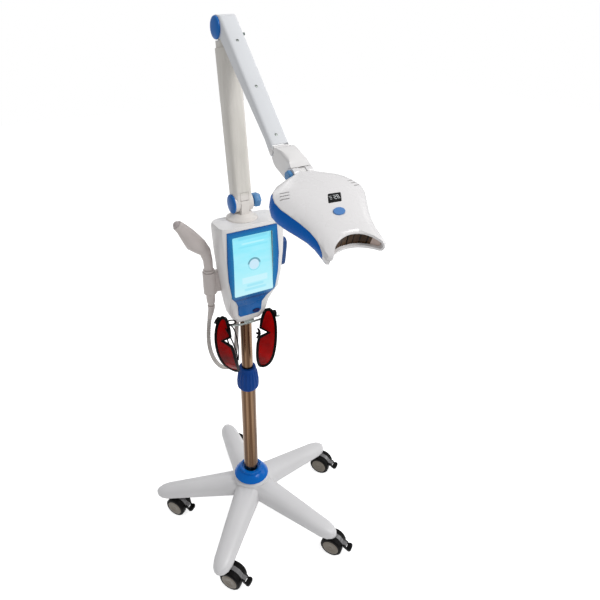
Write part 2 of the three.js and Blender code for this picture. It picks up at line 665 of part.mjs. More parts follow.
function addCastors(parent) {
  for (let i = 0; i < star.legs; i += 1) {
    const angle = (star.firstAngle + (360 * i) / star.legs) * DEGREE;
    const group = new THREE.Group();
    group.position.set(castor.orbit * Math.cos(angle), castor.orbit * Math.sin(angle), 0);
    group.rotation.z = castor.heading * DEGREE;
    parent.add(group);
    add(group, `castor_${i + 1}_yoke`, castorYoke(), 'castorGrey');
    add(group, `castor_${i + 1}_wheels`, castorWheels(), 'black');
    add(group, `castor_${i + 1}_brake`, castorBrake(), 'black');
  }
}

// Control box
function boxSolid(inset) {
  const { bottom, height, halfWidth, shoulder, front, rear, rearRound, frontRound } = box;
  const rings = boxShares.map(([heightShare, widthShare, frontShare, rearShare, shoulderShare], i) => {
    let z = bottom + height * heightShare;
    if (i === 0) z += inset;
    if (i === boxShares.length - 1) z -= inset;
    const half = halfWidth * widthShare - inset;
    const right = half + shoulder * shoulderShare;
    const y0 = -front * frontShare + inset;
    const y1 = rear * rearShare - inset;
    const back = Math.min(rearRound * widthShare, (y1 - y0) * 0.45);
    const face = Math.min(frontRound * widthShare, (y1 - y0) * 0.45);
    const outline = [
      ...arc(right - back, y1 - back, back, 0, 90, 3),
      ...arc(-half + back, y1 - back, back, 90, 180, 3),
      ...arc(-half + face, y0 + face, face, 180, 270, 2),
      ...arc(right - face, y0 + face, face, 270, 360, 2),
    ];
    return outline.map(([x, y]) => new THREE.Vector3(x, y, z));
  });
  return loft(rings);
}

function bezelOutline(grow) {
  const { halfWidth, footMargin, topMargin } = bezel;
  const bottom = box.bottom + footMargin;
  const top = boxTop - topMargin;
  const right = bezelShares.map(([x, z]) => [
    halfWidth * x + (x > 0.2 ? grow : 0),
    bottom + (top - bottom) * z + (z > 0.9 ? grow : 0) - (z < 0.1 ? grow : 0),
  ]);
  const left = right.map(([x, z]) => [-x, z]).reverse();
  return [...right, ...left];
}

function screenPane(grow) {
  const { width, height, thickness, frontBottom, tilt, corner } = screen;
  const outline = roundedRectangle(-width / 2 - grow, width / 2 + grow, -grow, height + grow, corner + grow);
  return slabY(outline, -grow, thickness + grow)
    .rotateX(-tilt * DEGREE).translate(0, -frontBottom, screenBottom);
}

function screenWindow() {
  const { width, height, corner, footGap } = screen;
  const outline = roundedRectangle(
    -width / 2 - fit, width / 2 + fit, screenBottom - footGap, screenBottom + height + fit, corner,
  );
  return slabY(outline, -box.front - overrun, -box.rear);
}

function keyOutline(grow) {
  return oval(key.x, box.bottom + key.lift, key.halfWidth + grow, key.halfHeight + grow, 18);
}

function keyPocket(grow) {
  return slabY(keyOutline(grow), -box.front - overrun, 0);
}

function gripOutline(grow) {
  const { lift, height, front, rear } = grip;
  const bottom = box.bottom + lift;
  const top = bottom + height;
  const middle = (front + rear) / 2;
  const half = (front - rear) / 2 + grow;
  return [
    ...arc(-middle, top - half, half, 0, 180, 8),
    ...arc(-middle, bottom + half, half, 180, 360, 8),
  ].map(([y, z]) => [y, z + Math.sign(z - (top + bottom) / 2) * grow]);
}

function boxShells() {
  const { wall, seam, halfWidth, shoulder, bottom, height, front, rear, spigotHole } = box;
  const middle = bottom + height / 2;
  const outer = solid(boxSolid(0));
  const inner = solid(boxSolid(wall));
  const bezelSeat = solid(slabY(bezelOutline(fit), -front - overrun, 0))
    .subtract(solid(boxSolid(bezel.depth + fit)));
  const outside = halfWidth + shoulder + overrun;
  const gripSeat = solid(slabX(gripOutline(fit), halfWidth / 2, outside))
    .subtract(solid(boxSolid(grip.depth + fit)));
  const keyWell = solid(slabY(keyOutline(fit), -front - overrun, 0))
    .subtract(solid(boxSolid(key.depth + key.travel + fit)));
  const body = outer.subtract(inner)
    .subtract(bezelSeat)
    .subtract(gripSeat)
    .subtract(keyWell)
    .subtract(solid(screenWindow()))
    .subtract(solid(rodZ(pole.upperRadius + fit, bottom - overrun, middle, 28)))
    .subtract(solid(rodZ(spigotHole, middle, boxTop + overrun, 28)))
    .subtract(solid(rodZ(cable.radius + fit, bottom - overrun, bottom + wall + overrun, 12)
      .translate(cable.glandX, cable.glandY, 0)));
  const half = (y0, y1) => solid(block(-outside, outside, y0, y1, bottom - overrun, boxTop + overrun));
  return {
    frontShell: geometryOf(body.intersect(half(-front - overrun, seam - fit / 2))),
    rearShell: geometryOf(body.intersect(half(seam + fit / 2, rear + overrun))),
  };
}

function bezelFrame() {
  const { front } = box;
  const { proud, depth } = bezel;
  return geometryOf(
    solid(slabY(bezelOutline(0), -front - overrun, 0))
      .intersect(solid(boxSolid(-proud)))
      .subtract(solid(boxSolid(depth)))
      .subtract(solid(screenWindow()))
      .subtract(solid(keyPocket(fit))),
  );
}

function powerKey() {
  return geometryOf(
    solid(keyPocket(0)).intersect(solid(boxSolid(-key.proud))).subtract(solid(boxSolid(key.depth))),
  );
}

function sideGrip() {
  return geometryOf(
    solid(slabX(gripOutline(0), box.halfWidth / 2, box.halfWidth + box.shoulder + overrun + grip.proud))
      .intersect(solid(boxSolid(-grip.proud)))
      .subtract(solid(boxSolid(grip.depth))),
  );
}

function controlBoard() {
  const { frontBottom, tilt } = screen;
  const { width, height, thickness, partHeight } = board;
  const face = screen.thickness + fit;
  const rear = face + thickness;
  const foot = screen.height / 2 - height / 2;
  const plate = block(-width / 2, width / 2, face, rear, foot, foot + height);
  const chips = boardShares.map(([x, z, w, h]) => block(
    width * (x - w), width * (x + w), face + thickness / 2, rear + partHeight * (0.4 + h),
    foot + height * (z - h), foot + height * (z + h),
  ));
  return join(plate, ...chips).rotateX(-tilt * DEGREE).translate(0, -frontBottom, screenBottom);
}

function powerSupply() {
  const { width, depth, height, x, lift, fins, finDepth } = supply;
  const bottom = box.bottom + lift;
  const rear = box.rear - box.wall - fit;
  const body = block(x - width / 2, x + width / 2, rear - depth, rear, bottom, bottom + height);
  const slots = [];
  for (let i = 0; i < fins; i += 1) {
    const z = bottom + (height * (i + 0.7)) / (fins + 0.5);
    const slotTop = z + height / (fins * 3);
    slots.push(block(x - width, x + width, rear - depth - overrun, rear - depth + finDepth, z, slotTop));
  }
  return cut(body, ...slots);
}

// Handpiece, its holder and its cable
function holderCup() {
  const { y, wall, web, bracket, lip } = holder;
  const reach = handpiece.gripRadius + running;
  const cup = rodZ(reach + wall, holderBottom, holderTop, 24).translate(holderX, y, 0);
  const bore = rodZ(reach, holderBottom - overrun, holderTop + overrun, 24).translate(holderX, y, 0);
  const arms = block(holderX, holderX + bracket, y - web, y + web, holderBottom + lip, holderTop - lip);
  return geometryOf(
    solid(cup).add(solid(arms).subtract(solid(boxSolid(-fit))))
      .subtract(solid(bore))
      .subtract(solid(boxSolid(-fit))),
  );
}

function handpiecePlace(along, up) {
  return [holderX - handpiece.lean * along, holder.y, handpieceBottom + handpiece.height * up];
}

function handpieceBody() {
  const { gripRadius, collarRadius, collarHeight } = handpiece;
  const places = handpieceShares.map(([along, up, wide, deep]) => [
    ...handpiecePlace(along, up), gripRadius * wide, gripRadius * deep,
  ]);
  const foot = holderTop + fit;
  const collarRing = rodZ(collarRadius, foot, foot + collarHeight, 24).translate(holderX, holder.y, 0);
  return join(tapered(places, 14), collarRing);
}

function handpieceLens() {
  const { lensRadius, lensRim, lensHeight, lensTilt } = handpiece;
  const lens = turned([
    [0, 0], [lensRadius + lensRim, 0], [lensRadius, (lensHeight * 2) / 3], [lensRadius * 0.6, lensHeight],
    [0, lensHeight * 1.1],
  ], 18);
  return lens.rotateY(-lensTilt * DEGREE).translate(...handpiecePlace(...lensShares));
}

// Chosen places of the cable, from the handpiece round to the gland under the box
const cablePlaces = [
  [-80, 8, 699.4], [-80.6, 8, 690], [-86, 8, 668], [-90.5, 8, 640], [-93, 7, 612], [-92, 6, 586],
  [-86.5, 5, 560], [-77, 4, 538], [-64.5, 3, 523.5], [-51, 2, 519], [-39.5, 2, 527], [-31.8, 2, 545],
  [-27.4, 2, 573], [-24.6, 2, 604], [-23, 2, 640], [-23, 2, 660],
];

// Hook rail
function hookRail() {
  const { span, radius, sides, steps, clampHeight, clampFront, clampRear, clampHalfWidth } = rail;
  const top = box.bottom - fit;
  const places = railShares.map(([x, y, z]) => [span * x, span * y, box.bottom + span * z]);
  const wire = tube(places, radius, sides, steps);
  const clamp = block(-clampHalfWidth, clampHalfWidth, -clampFront, -clampRear, top - clampHeight, top);
  return join(wire, clamp);
}

// Goggles: u runs across from the nose to the brow, s along the brow, and the ends wrap back
function goggleEdge(s) {
  const { halfLength, browOut, browShare, noseIn, endIn } = goggles;
  const { notch, notchHalf, notchPlace, notchFallShare } = goggles;
  const t = Math.min(1, Math.abs(s) / halfLength);
  const end = Math.sqrt(Math.max(0, 1 - t ** 5));
  const inner = -(endIn + (noseIn - endIn) * Math.cos((t * Math.PI) / 2)) * end;
  const across = (s - notchPlace) / notchHalf;
  const inNotch = Math.abs(across) < notchFallShare;
  const bridge = inNotch ? notch * 2 * Math.exp(-(across ** 2) * notchFallShare) : 0;
  return [inner + bridge, browOut * (1 - browShare * t * t) * end];
}

function goggleWrap(s) {
  const { wrapRadius } = goggles;
  return wrapRadius - Math.sqrt(wrapRadius * wrapRadius - s * s);
}

function goggleLens(grow = 0) {
  const { halfLength, tipShare, thickness, stations } = goggles;
  const rings = [];
  for (let i = 0; i <= stations; i += 1) {
    const s = halfLength * tipShare * Math.sin(Math.PI * (i / stations - 0.5));
    const [inner, outer] = goggleEdge(s);
    const near = inner + fit - grow;
    const far = outer - fit + grow;
    const front = goggleWrap(s) - grow;
    const rear = goggleWrap(s) + thickness + grow;
    const corners = [[near, front], [far, front], [far, rear], [near, rear]];
    rings.push(corners.map(([u, y]) => new THREE.Vector3(u, y, s)));
  }
  return loft(rings);
}

function goggleFrame() {
  const { halfLength, tipShare, rim, rimDepth, thickness, stations } = goggles;
  const { lugShare, lugHeight, lugDepth, lugWidth } = goggles;
  const { templeRadius, templeDrop, templeSeat, templeBow } = goggles;
  const loop = [];
  const gap = fit + rim / 2;
  const place = (i, side) => {
    const s = halfLength * Math.sin(Math.PI * (i / stations - 0.5));
    const [inner, outer] = goggleEdge(s * tipShare);
    return side > 0 ? [outer, s] : [inner, s];
  };
  for (let i = 0; i <= stations; i += 1) loop.push(place(i, 1));
  for (let i = stations - 1; i > 0; i -= 1) loop.push(place(i, -1));
  const count = loop.length;
  const rings = loop.map(([u, s], i) => {
    const before = loop[(i + count - 1) % count];
    const after = loop[(i + 1) % count];
    const way = new THREE.Vector2(after[0] - before[0], after[1] - before[1]).normalize();
    const out = new THREE.Vector2(way.y, -way.x);
    const y = goggleWrap(s) + thickness / 2;
    const corner = (a, b) => new THREE.Vector3(u + out.x * (gap + a), y + b, s + out.y * (gap + a));
    return [
      corner(-rim / 2, -rimDepth / 2), corner(rim / 2, -rimDepth / 2),
      corner(rim / 2, rimDepth / 2), corner(-rim / 2, rimDepth / 2),
    ];
  });
  const top = halfLength * lugShare;
  const side = goggleEdge(top - lugHeight / 2)[1] + fit + rim / 4;
  const front = goggleWrap(top) - rimDepth / 4;
  const bend = front + lugDepth;
  const lug = block(side, side + lugWidth, front, bend, top - lugHeight / 2, top + lugHeight / 2);
  const temple = tube([
    [side + lugWidth / 2, bend - templeSeat, top],
    [side + lugWidth / 2, bend + templeBow * 0.75, top - templeDrop * 0.2],
    [side, bend + templeBow, top - templeDrop * 0.6],
    [side - lugWidth, bend, top - templeDrop],
  ], templeRadius, 6, 9);
  return cut(join(loft(rings, true), lug, temple), goggleLens(fit));
}

// Turret and arm
function turretBody() {
  const { radius, shoulder, coneHeight, neckHeight, edge, edgeHeight, flare, flareHeight } = turret;
  const { tongueInset, spigotRadius, spigotDepth } = turret;
  const half = arm.side / 2;
  const bottom = turretBottom;
  const coneTop = bottom + coneHeight;
  const neckTop = bottom + neckHeight;
  const cone = turned([
    [0, bottom - spigotDepth], [spigotRadius, bottom - spigotDepth], [spigotRadius, bottom], [radius, bottom],
    [radius - edge, bottom + edgeHeight], [shoulder + flare, coneTop - flareHeight], [shoulder, coneTop],
    [half, neckTop], [0, neckTop],
  ], 26);
  const tongue = slabX([
    ...arc(0, footPivotHeight, half, 0, 180, 10), [tongueInset - half, coneTop], [half - tongueInset, coneTop],
  ], -arm.tongue, arm.tongue);
  const rod = (size, x0, x1, sides) => rodX(size, x0, x1, sides).translate(0, 0, footPivotHeight);
  return cut(
    join(cone, tongue),
    rod(pin.radius + fit, -arm.side, arm.side, 14),
    rod(arm.eyeRadius + running, -arm.side, -arm.tongue, 24),
    rod(arm.eyeRadius + running, arm.tongue, arm.side, 24),
  );
}

function lowerArm() {
  const { side, round, wall, tongue, eyeRadius, slotDepth, shoulder, topInset, neckShare } = arm;
  const half = side / 2;
  const outline = roundedRectangle(-half, half, -half, half, round, 3);
  const shaft = slabZ(outline, 0, armLength - shoulder);
  const neck = slabZ(
    outline.map(([x, y]) => [x * neckShare, y * neckShare]),
    armLength - shoulder - overrun, armLength - forearm.rearRadius - running,
  );
  const footEye = rodX(eyeRadius, -half, half, 22);
  const footKeep = slabX([
    ...arc(0, 0, eyeRadius, 180, 360, 9), [half, armLength], [-half, armLength],
  ], -half, half);
  const top = slabX([
    ...arc(0, armLength, eyeRadius - topInset, 0, 180, 9),
    [topInset - half, armLength - shoulder], [half - topInset, armLength - shoulder],
  ], -tongue, tongue);
  const hollow = slabZ(
    roundedRectangle(-half + wall, half - wall, -half + wall, half - wall, round - wall, 3),
    slotDepth - overrun, armLength - shoulder - wall,
  );
  const slot = slabX([
    ...arc(0, 0, slotDepth, 0, 180, 10),
    [-half - overrun, -half - overrun], [half + overrun, -half - overrun],
  ], -tongue - fit, tongue + fit);
  const shaftKept = solid(join(shaft, footEye)).intersect(solid(footKeep));
  return geometryOf(
    shaftKept.add(solid(neck)).add(solid(top))
      .subtract(solid(hollow)).subtract(solid(slot))
      .subtract(solid(rodX(pin.radius + fit, -side, side, 14)))
      .subtract(solid(rodX(pin.radius + fit, -side, side, 14).translate(0, 0, armLength))),
  );
}

// Elbow lever: a short crank and a bent handle on the end of the elbow pin
function elbowLever() {
  const { length, handle, radius, standoff, rise, flare, offset, hubRadius, hubLength } = lever;
  const x = forearm.width / 2 + fit;
  const hub = rodX(hubRadius, x, x + hubLength, 16);
  const near = x + standoff;
  const far = near + flare;
  const crank = tube([
    [x + hubLength / 2, 0, rise], [near, 0, rise / 2], [near + flare * 0.75, (-offset * 2) / 3, -length * 0.6],
    [far, -offset, -length], [far + flare * 0.75, -offset, -length - rise / 2],
    [far + handle, -offset, -length - rise / 4],
  ], radius, 8, 11);
  return cut(join(hub, crank), rodX(pin.radius + fit, x - overrun, x + hubLength * 0.7, 14));
}

// Forearm, made level along -Y from the elbow pin, top up
function forearmOutline(inset) {
  const { length, top, rearBottom, endBottom, rearRadius, endDrop, noseRadius } = forearm;
  const rear = rearRadius - inset;
  return [
    ...arc(0, 0, rear, -60, 62, 8),
    [rear * 0.15, top - inset],
    [-length + noseRadius * 2.2, top - inset],
    ...arc(-length, endDrop, noseRadius - inset, 110, 262, 8),
    [-length * 0.9, endBottom + inset],
    [-rear * 1.1, rearBottom + inset],
    [-rear * 0.55, -rear * 0.83],
  ];
}

function forearmSection() {
  const { length, width, top, round, rearRadius } = forearm;
  const low = -rearRadius - overrun;
  return slabY(
    roundedRectangle(-width / 2, width / 2, low, top, round, 4),
    -length - rearRadius, rearRadius + overrun,
  );
}

function forearmCover() {
  const { length, width, wall, slot, rearRadius, endDrop, noseRadius } = forearm;
  const half = width / 2;
  const inner = half - wall;
  const cavity = slabX(forearmOutline(wall), -inner, inner);
  const floor = slabX([
    [-rearRadius * 1.15, -rearRadius * 2], [-length + slot * 0.2, -rearRadius * 2],
    [-length + slot * 0.2, endDrop], [-rearRadius * 1.15, endDrop],
  ], -inner, inner);
  const throat = slabX([
    [rearRadius + overrun, -rearRadius - overrun], [rearRadius + overrun, rearRadius * 0.2],
    [0, rearRadius * 0.95], [-rearRadius * 1.2, rearRadius * 0.9], [-rearRadius * 1.2, -rearRadius - overrun],
  ], -inner, inner);
  const forkRear = -length + slot * 0.23;
  const forkFront = -length - noseRadius - overrun;
  const forkTop = endDrop + noseRadius + overrun;
  const fork = slabX([
    [forkRear, -overrun], [forkFront, -overrun], [forkFront, forkTop], [forkRear, forkTop],
  ], -inner, inner);
  return geometryOf(
    solid(slabX(forearmOutline(0), -half, half)).intersect(solid(forearmSection()))
      .subtract(solid(cavity)).subtract(solid(floor)).subtract(solid(throat)).subtract(solid(fork))
      .subtract(solid(rodX(pin.radius + fit, -width, width, 18)))
      .subtract(solid(rodX(pin.radius + fit, -width, width, 18).translate(0, -length, endDrop))),
  );
}

// Height of the underside of the tray, which slopes with the foot of the cover
function trayHeight(y) {
  const { length, rearBottom, endBottom, rearRadius } = forearm;
  const slope = (endBottom - rearBottom) / (length * 0.9 - rearRadius * 1.1);
  return rearBottom + slope * (-y - rearRadius * 1.1) + fit;
}

// The tray closes the forearm from below and carries the balance spring
function forearmTray() {
  const { length, width, wall, slot, rearRadius, trayGap } = forearm;
  const { radius, start, end, postHalf, postGap } = spring;
  const inner = width / 2 - wall - fit;
  const rear = -rearRadius - trayGap;
  const front = -length + slot;
  const plate = slabX([
    [rear, trayHeight(rear)], [rear, trayHeight(rear) + wall],
    [front, trayHeight(front) + wall], [front, trayHeight(front)],
  ], -inner, inner);
  const post = (y) => block(
    -inner * 0.4, inner * 0.4, y - postHalf, y + postHalf, trayHeight(y), trayHeight(y) + wall + radius * 1.6,
  );
  return join(plate, post(-start + postGap), post(-end - postGap));
}

function balanceSpring() {
  const { radius, wire, turns, facets, start, end } = spring;
  const steps = turns * facets;
  const rings = [];
  for (let i = 0; i <= steps; i += 1) {
    const y = -start - fit - wire - ((end - start - 2 * fit - 2 * wire) * i) / steps;
    const angle = (2 * Math.PI * turns * i) / steps;
    const z = trayHeight(y) + forearm.wall + fit + (radius + wire) * Math.cos(Math.PI / facets);
    const out = new THREE.Vector3(Math.cos(angle), 0, Math.sin(angle));
    const middle = new THREE.Vector3(0, y, z).addScaledVector(out, radius);
    rings.push(arc(0, 0, wire, 0, 270, 3).map(([u, v]) => (
      middle.clone().addScaledVector(out, u).addScaledVector(Y, v)
    )));
  }
  return loft(rings);
}

// Wrist knuckle between the forearm and the head, made along the line from pin to pin
function wristKnuckle() {
  const { halfWidth, tongue, halfHeight, bellyShare, round, barrel, leaf, leafInset, neck, length } = wrist;
  const turn = forearm.noseRadius + running;
  const low = -halfHeight * bellyShare;
  const outside = halfWidth + overrun;
  const body = slabX([
    [-turn * 0.6, turn * 0.9], [-turn, halfHeight * 0.66], [-neck * 0.8, halfHeight * 0.78],
    [-neck * 1.3, halfHeight * 0.91], [-neck * 1.9, halfHeight], [-length * 0.64, halfHeight],
    [-length * 0.78, halfHeight * 0.88], [-length * 0.9, barrel], [-length, barrel], [-length, -barrel],
    [-length * 0.84, low * 0.74], [-length * 0.72, low * 0.94], [-length * 0.56, low],
    [-neck * 1.35, low * 0.93], [-neck * 0.8, low * 0.76], [-turn * 0.6, -turn * 0.9],
  ], -halfWidth, halfWidth);
  const section = slabY(
    roundedRectangle(-halfWidth, halfWidth, low, halfHeight, round, 3), -length - overrun, neck,
  );
  const socket = rodX(barrel + running, -outside, outside, 32).translate(0, -length, 0);
  const ahead = block(
    -outside, outside, -length - barrel * 3, -length + barrel * 0.35, -barrel * 3, barrel * 3,
  );
  const front = rodX(barrel - leafInset, -leaf, leaf, 26).translate(0, -length, 0);
  const bridge = block(-leaf, leaf, -length, -length + barrel * 1.4, -barrel * 0.7, barrel * 0.7);
  const rear = rodX(turn - running - fit, -tongue, tongue, 20);
  const stalk = slabX([
    [0, -turn * 0.65], [0, turn * 0.65], [-neck * 1.1, halfHeight * 0.47], [-neck * 1.1, -halfHeight * 0.47],
  ], -tongue, tongue);
  const swing = rodX(turn, -outside, outside, 24);
  return geometryOf(
    solid(body).intersect(solid(section))
      .subtract(solid(swing)).subtract(solid(socket)).subtract(solid(ahead))
      .add(solid(front)).add(solid(bridge)).add(solid(rear)).add(solid(stalk))
      .subtract(solid(rodX(pin.radius + fit, -halfWidth * 2, halfWidth * 2, 18)))
      .subtract(solid(rodX(pin.radius + fit, -halfWidth * 2, halfWidth * 2, 18).translate(0, -length, 0))),
  );
}

// Pin of the wrist, with a button head on each cheek of the forearm
function wristPin() {
  const { headRadius, headHeight } = wristKnob;
  const face = forearm.width / 2 + fit;
  return turned([
    [0, -face - headHeight], [headRadius * 0.7, -face - headHeight], [headRadius, -face - headHeight * 0.4],
    [headRadius, -face], [pin.radius, -face], [pin.radius, face], [headRadius, face],
    [headRadius, face + headHeight * 0.4], [headRadius * 0.7, face + headHeight], [0, face + headHeight],
  ], 12).rotateY(Math.PI / 2);
}

// Knob on the left of the head, with the pin of the head through the knuckle
function headKnob() {
  const face = wrist.halfWidth + fit;
  const body = lobedKnob(wristKnob, face, 0);
  const shank = rodX(pin.radius, -wrist.halfWidth + overrun / 2, face + wristKnob.length / 2, 14);
  return mirrored(join(body, shank));
}

// Lamp head
// Half width, crown and underside of the head at a place along it
function headAt(s) {
  const { length, halfWidth, parting, bottom, start } = head;
  const share = Math.min(1, Math.max(0, (s - start) / (length - start)));
  let k = 0;
  while (k < headShares.length - 2 && headShares[k + 1][0] < share) k += 1;
  const [from, to] = [headShares[k], headShares[k + 1]];
  const blend = (share - from[0]) / (to[0] - from[0]);
  const [, wide, high, deep] = from.map((value, i) => value + (to[i] - value) * blend);
  return { half: halfWidth * wide, top: head.crown * high, floor: parting - (parting - bottom) * deep };
}

function headSection(s, inset) {
  const { parting } = head;
  const place = headAt(s);
  const half = place.half - inset;
  const top = place.top - inset;
  const floor = place.floor + inset;
  const upper = arc(0, 0, 1, 0, 180, 10).map(([u, v]) => [
    half * Math.sign(u) * Math.abs(u) ** 0.86, parting + (top - parting) * Math.abs(v) ** 0.72,
  ]);
  const lower = chineShares.map(([across, down]) => [half * across, parting - (parting - floor) * down]);
  return [...upper, ...lower].map(([x, h]) => new THREE.Vector3(x, -s, h));
}

function headSolid(inset) {
  const { length, start } = head;
  const rings = headShares.map(([share], i) => {
    let s = start + (length - start) * share;
    if (i === 0) s += inset;
    return headSection(s, inset);
  });
  return loft(rings);
}

function mouthCutter(radius, apex, z0, z1) {
  return rodZ(radius, z0, z1, head.rimSides).translate(0, -apex - radius, 0);
}

// The edge of the top shell slopes forward from the crown down to the inside
function rimCutter() {
  const { rimRadius, rimApex, rimTop, rimShare, rimDepth, rimSides, bottom, crown } = head;
  const inside = rimTop - rimDepth;
  const rings = [[bottom, inside], [inside, inside], [crown + overrun, crown + overrun]].map(([h, shown]) => {
    const centre = rimApex + rimRadius + (rimTop - shown) * rimShare;
    const outline = arc(0, -centre, rimRadius, 0, 360 - 360 / rimSides, rimSides - 1);
    return outline.map(([x, y]) => new THREE.Vector3(x, y, h));
  });
  return loft(rings);
}

function panelTool(grow) {
  const { rear, front, top, drop, lift } = panel;
  const upper = panelShares.map(([along, up]) => [
    -(rear + (front - rear) * along) + (along < 0.5 ? grow : -grow),
    top - drop * (1 - up) + grow,
  ]);
  const lower = upper.map(([y]) => [y, headAt(-y).floor + lift - grow]).reverse();
  return slabX([...upper, ...lower], head.halfWidth * 0.25, head.halfWidth + overrun);
}

function displayTool(grow) {
  const { s, x, width, length, acrossShare, alongShare, round } = display;
  const across = width / 2 + grow;
  const along = length / 2 + grow;
  const outline = roundedRectangle(-across, across, -along, along, round, 2)
    .map(([u, v]) => [x + u + v * alongShare, -s + v - u * acrossShare]);
  return slabZ(outline, 0, head.crown + overrun);
}

function buttonTool(grow) {
  const { s, width, length } = button;
  return slabZ(oval(0, -s, width / 2 + grow, length / 2 + grow, 24), 0, head.crown + overrun);
}

function ventTools() {
  const { count, rear, spacing, x, offset, length, width, turn } = vent;
  const { parting, wall, crown } = head;
  const tools = [];
  for (let i = 0; i < count; i += 1) {
    for (const side of [-1, 1]) {
      const slot = block(-length / 2, length / 2, -width / 2, width / 2, parting + wall, crown + overrun);
      tools.push(slot.rotateZ(side * turn * DEGREE).translate(side * (x + offset * i), -rear - spacing * i, 0));
    }
  }
  return tools;
}

function headShells() {
  const { wall, parting, bottom, halfWidth, length, tongueEnd, lipRadius, lipApex, crown } = head;
  const { barrel, leaf, neckInset } = wrist;
  const neckHalf = wrist.halfWidth;
  const outer = solid(headSolid(0));
  const inner = solid(headSolid(wall));
  const seats = solid(panelTool(fit)).subtract(solid(headSolid(panel.depth + fit)));
  const rightSeat = solid(mirrored(geometryOf(seats)));
  const displaySeat = solid(displayTool(fit)).subtract(solid(headSolid(display.depth + fit)));
  const buttonSeat = solid(buttonTool(fit)).subtract(solid(headSolid(button.depth + button.travel + fit)));
  const pivotRoom = solid(rodX(barrel + running, -halfWidth, halfWidth, 22));
  const barrelRod = () => solid(rodX(barrel, -neckHalf, neckHalf, 22));
  const neckBarrel = barrelRod().add(solid(slabX([
    [-barrel * 0.4, -barrel * 0.9], [-barrel * 0.4, barrel * 0.92],
    [-tongueEnd, barrel * 0.92], [-tongueEnd, -barrel * 0.9],
  ], neckInset - neckHalf, neckHalf - neckInset)));
  const slot = solid(slabX([
    [barrel * 3, barrel * 2], [-barrel * 0.2, barrel * 2.2], [-barrel - running, 0],
    [-barrel * 0.2, -barrel * 2.2], [barrel * 3, -barrel * 2],
  ], -leaf - fit, leaf + fit));
  const core = solid(rodX(barrel + running * 0.2, -leaf - fit, leaf + fit, 22));
  const bore = solid(rodX(pin.radius + fit, -halfWidth, halfWidth, 18));
  let body = outer.subtract(inner)
    .subtract(seats).subtract(rightSeat)
    .subtract(displaySeat).subtract(buttonSeat)
    .subtract(pivotRoom)
    .add(neckBarrel.intersect(outer.add(barrelRod())))
    .subtract(slot).subtract(core).subtract(bore);
  for (const tool of ventTools()) body = body.subtract(solid(tool));
  const layer = (z0, z1) => solid(block(-halfWidth * 2, halfWidth * 2, -length * 2, length, z0, z1));
  const above = layer(parting + fit / 2, crown * 2);
  const below = layer(bottom * 2, parting - fit / 2);
  const seat = headAt(fan.s).floor + wall / 2;
  const fanPost = solid(turned([
    [0, seat], [fan.post * 2, seat], [fan.post * 2, fan.bottom - fit],
    [fan.post, fan.bottom - fit], [fan.post, fan.postTop], [0, fan.postTop],
  ], 12).translate(0, -fan.s, 0));
  const rim = solid(rimCutter());
  const lip = solid(mouthCutter(lipRadius, lipApex, bottom * 3, crown * 3));
  return {
    topShell: geometryOf(body.intersect(above).subtract(rim)),
    bottomShell: geometryOf(body.intersect(below).subtract(lip).add(fanPost)),
  };
}

function sidePanel() {
  return geometryOf(
    solid(panelTool(0)).intersect(solid(headSolid(0))).subtract(solid(headSolid(panel.depth))),
  );
}

// What a tool cuts out of the skin of the head, from above its surface down to a depth
function skinPiece(tool, { proud, depth }) {
  return geometryOf(
    solid(tool).intersect(solid(headSolid(-proud))).subtract(solid(headSolid(depth))),
  );
}

// A curved window, divided by a mullion, that leans from just behind the rim down to just behind the lip
function windowPlace(h, forward) {
  const { rimRadius, rimApex, lipRadius, lipApex } = head;
  const { rimGap, rimHeight, lipGap, lipHeight } = outlet;
  const blend = (rimHeight - h) / (rimHeight - lipHeight);
  const apex = (rimApex - rimGap) * (1 - blend) + (lipApex - lipGap) * blend;
  const centre = (rimApex + rimRadius) * (1 - blend) + (lipApex + lipRadius) * blend;
  return { centre, apex, radius: centre - apex - forward };
}

function windowShell(back, forward) {
  const { sweep, steps } = outlet;
  const rings = [head.bottom, head.crown].map((h) => {
    const { centre, radius } = windowPlace(h, 0);
    const near = arc(0, -centre, radius - forward, 90 - sweep, 90 + sweep, steps);
    const far = arc(0, -centre, radius + back, 90 + sweep, 90 - sweep, steps);
    return [...near, ...far].map(([x, y]) => new THREE.Vector3(x, y, h));
  });
  return solid(loft(rings));
}

function lightWindow() {
  const { thickness, mullion, mullionProud, end } = outlet;
  const strip = (half) => solid(block(-half, half, -end, 0, head.bottom, head.crown));
  const bar = windowShell(0, mullionProud).intersect(strip(mullion / 2));
  const pane = windowShell(thickness, 0).add(bar).intersect(strip(head.halfWidth));
  return geometryOf(pane.intersect(solid(headSolid(head.wall + fit))));
}

function ledPlate() {
  const { s, halfWidth, middle, height, thickness, ledRadius, leds } = ledBoard;
  const plate = block(-halfWidth, halfWidth, -s, -s + thickness, middle - height / 2, middle + height / 2);
  const domes = [];
  for (let i = 0; i < leds; i += 1) {
    const x = (2 * halfWidth * (i + 0.5)) / leds - halfWidth;
    const dome = turned([
      [0, 0], [ledRadius, 0], [ledRadius, ledRadius * 0.5], [ledRadius * 0.6, ledRadius], [0, ledRadius * 1.2],
    ], 6);
    domes.push(dome.rotateX(Math.PI / 2).translate(x, -s + thickness * 0.1, middle));
  }
  return join(plate, ...domes);
}

function heatSink() {
  const { rear, front, halfWidth, base, fins, finThickness, top } = sink;
  const { bottom } = head;
  const footTop = headAt(front).floor + head.wall + fit + base;
  const foot = block(-halfWidth, halfWidth, -front, -rear, bottom, footTop);
  const wall = block(-halfWidth, halfWidth, -front, -front + base, bottom, top);
  const blades = [];
  for (let i = 0; i < fins; i += 1) {
    const x = -halfWidth + finThickness / 2 + ((2 * halfWidth - finThickness) * i) / (fins - 1);
    blades.push(block(x - finThickness / 2, x + finThickness / 2, -front, -rear, bottom, top));
  }
  return common(join(foot, wall, ...blades), headSolid(head.wall + fit));
}

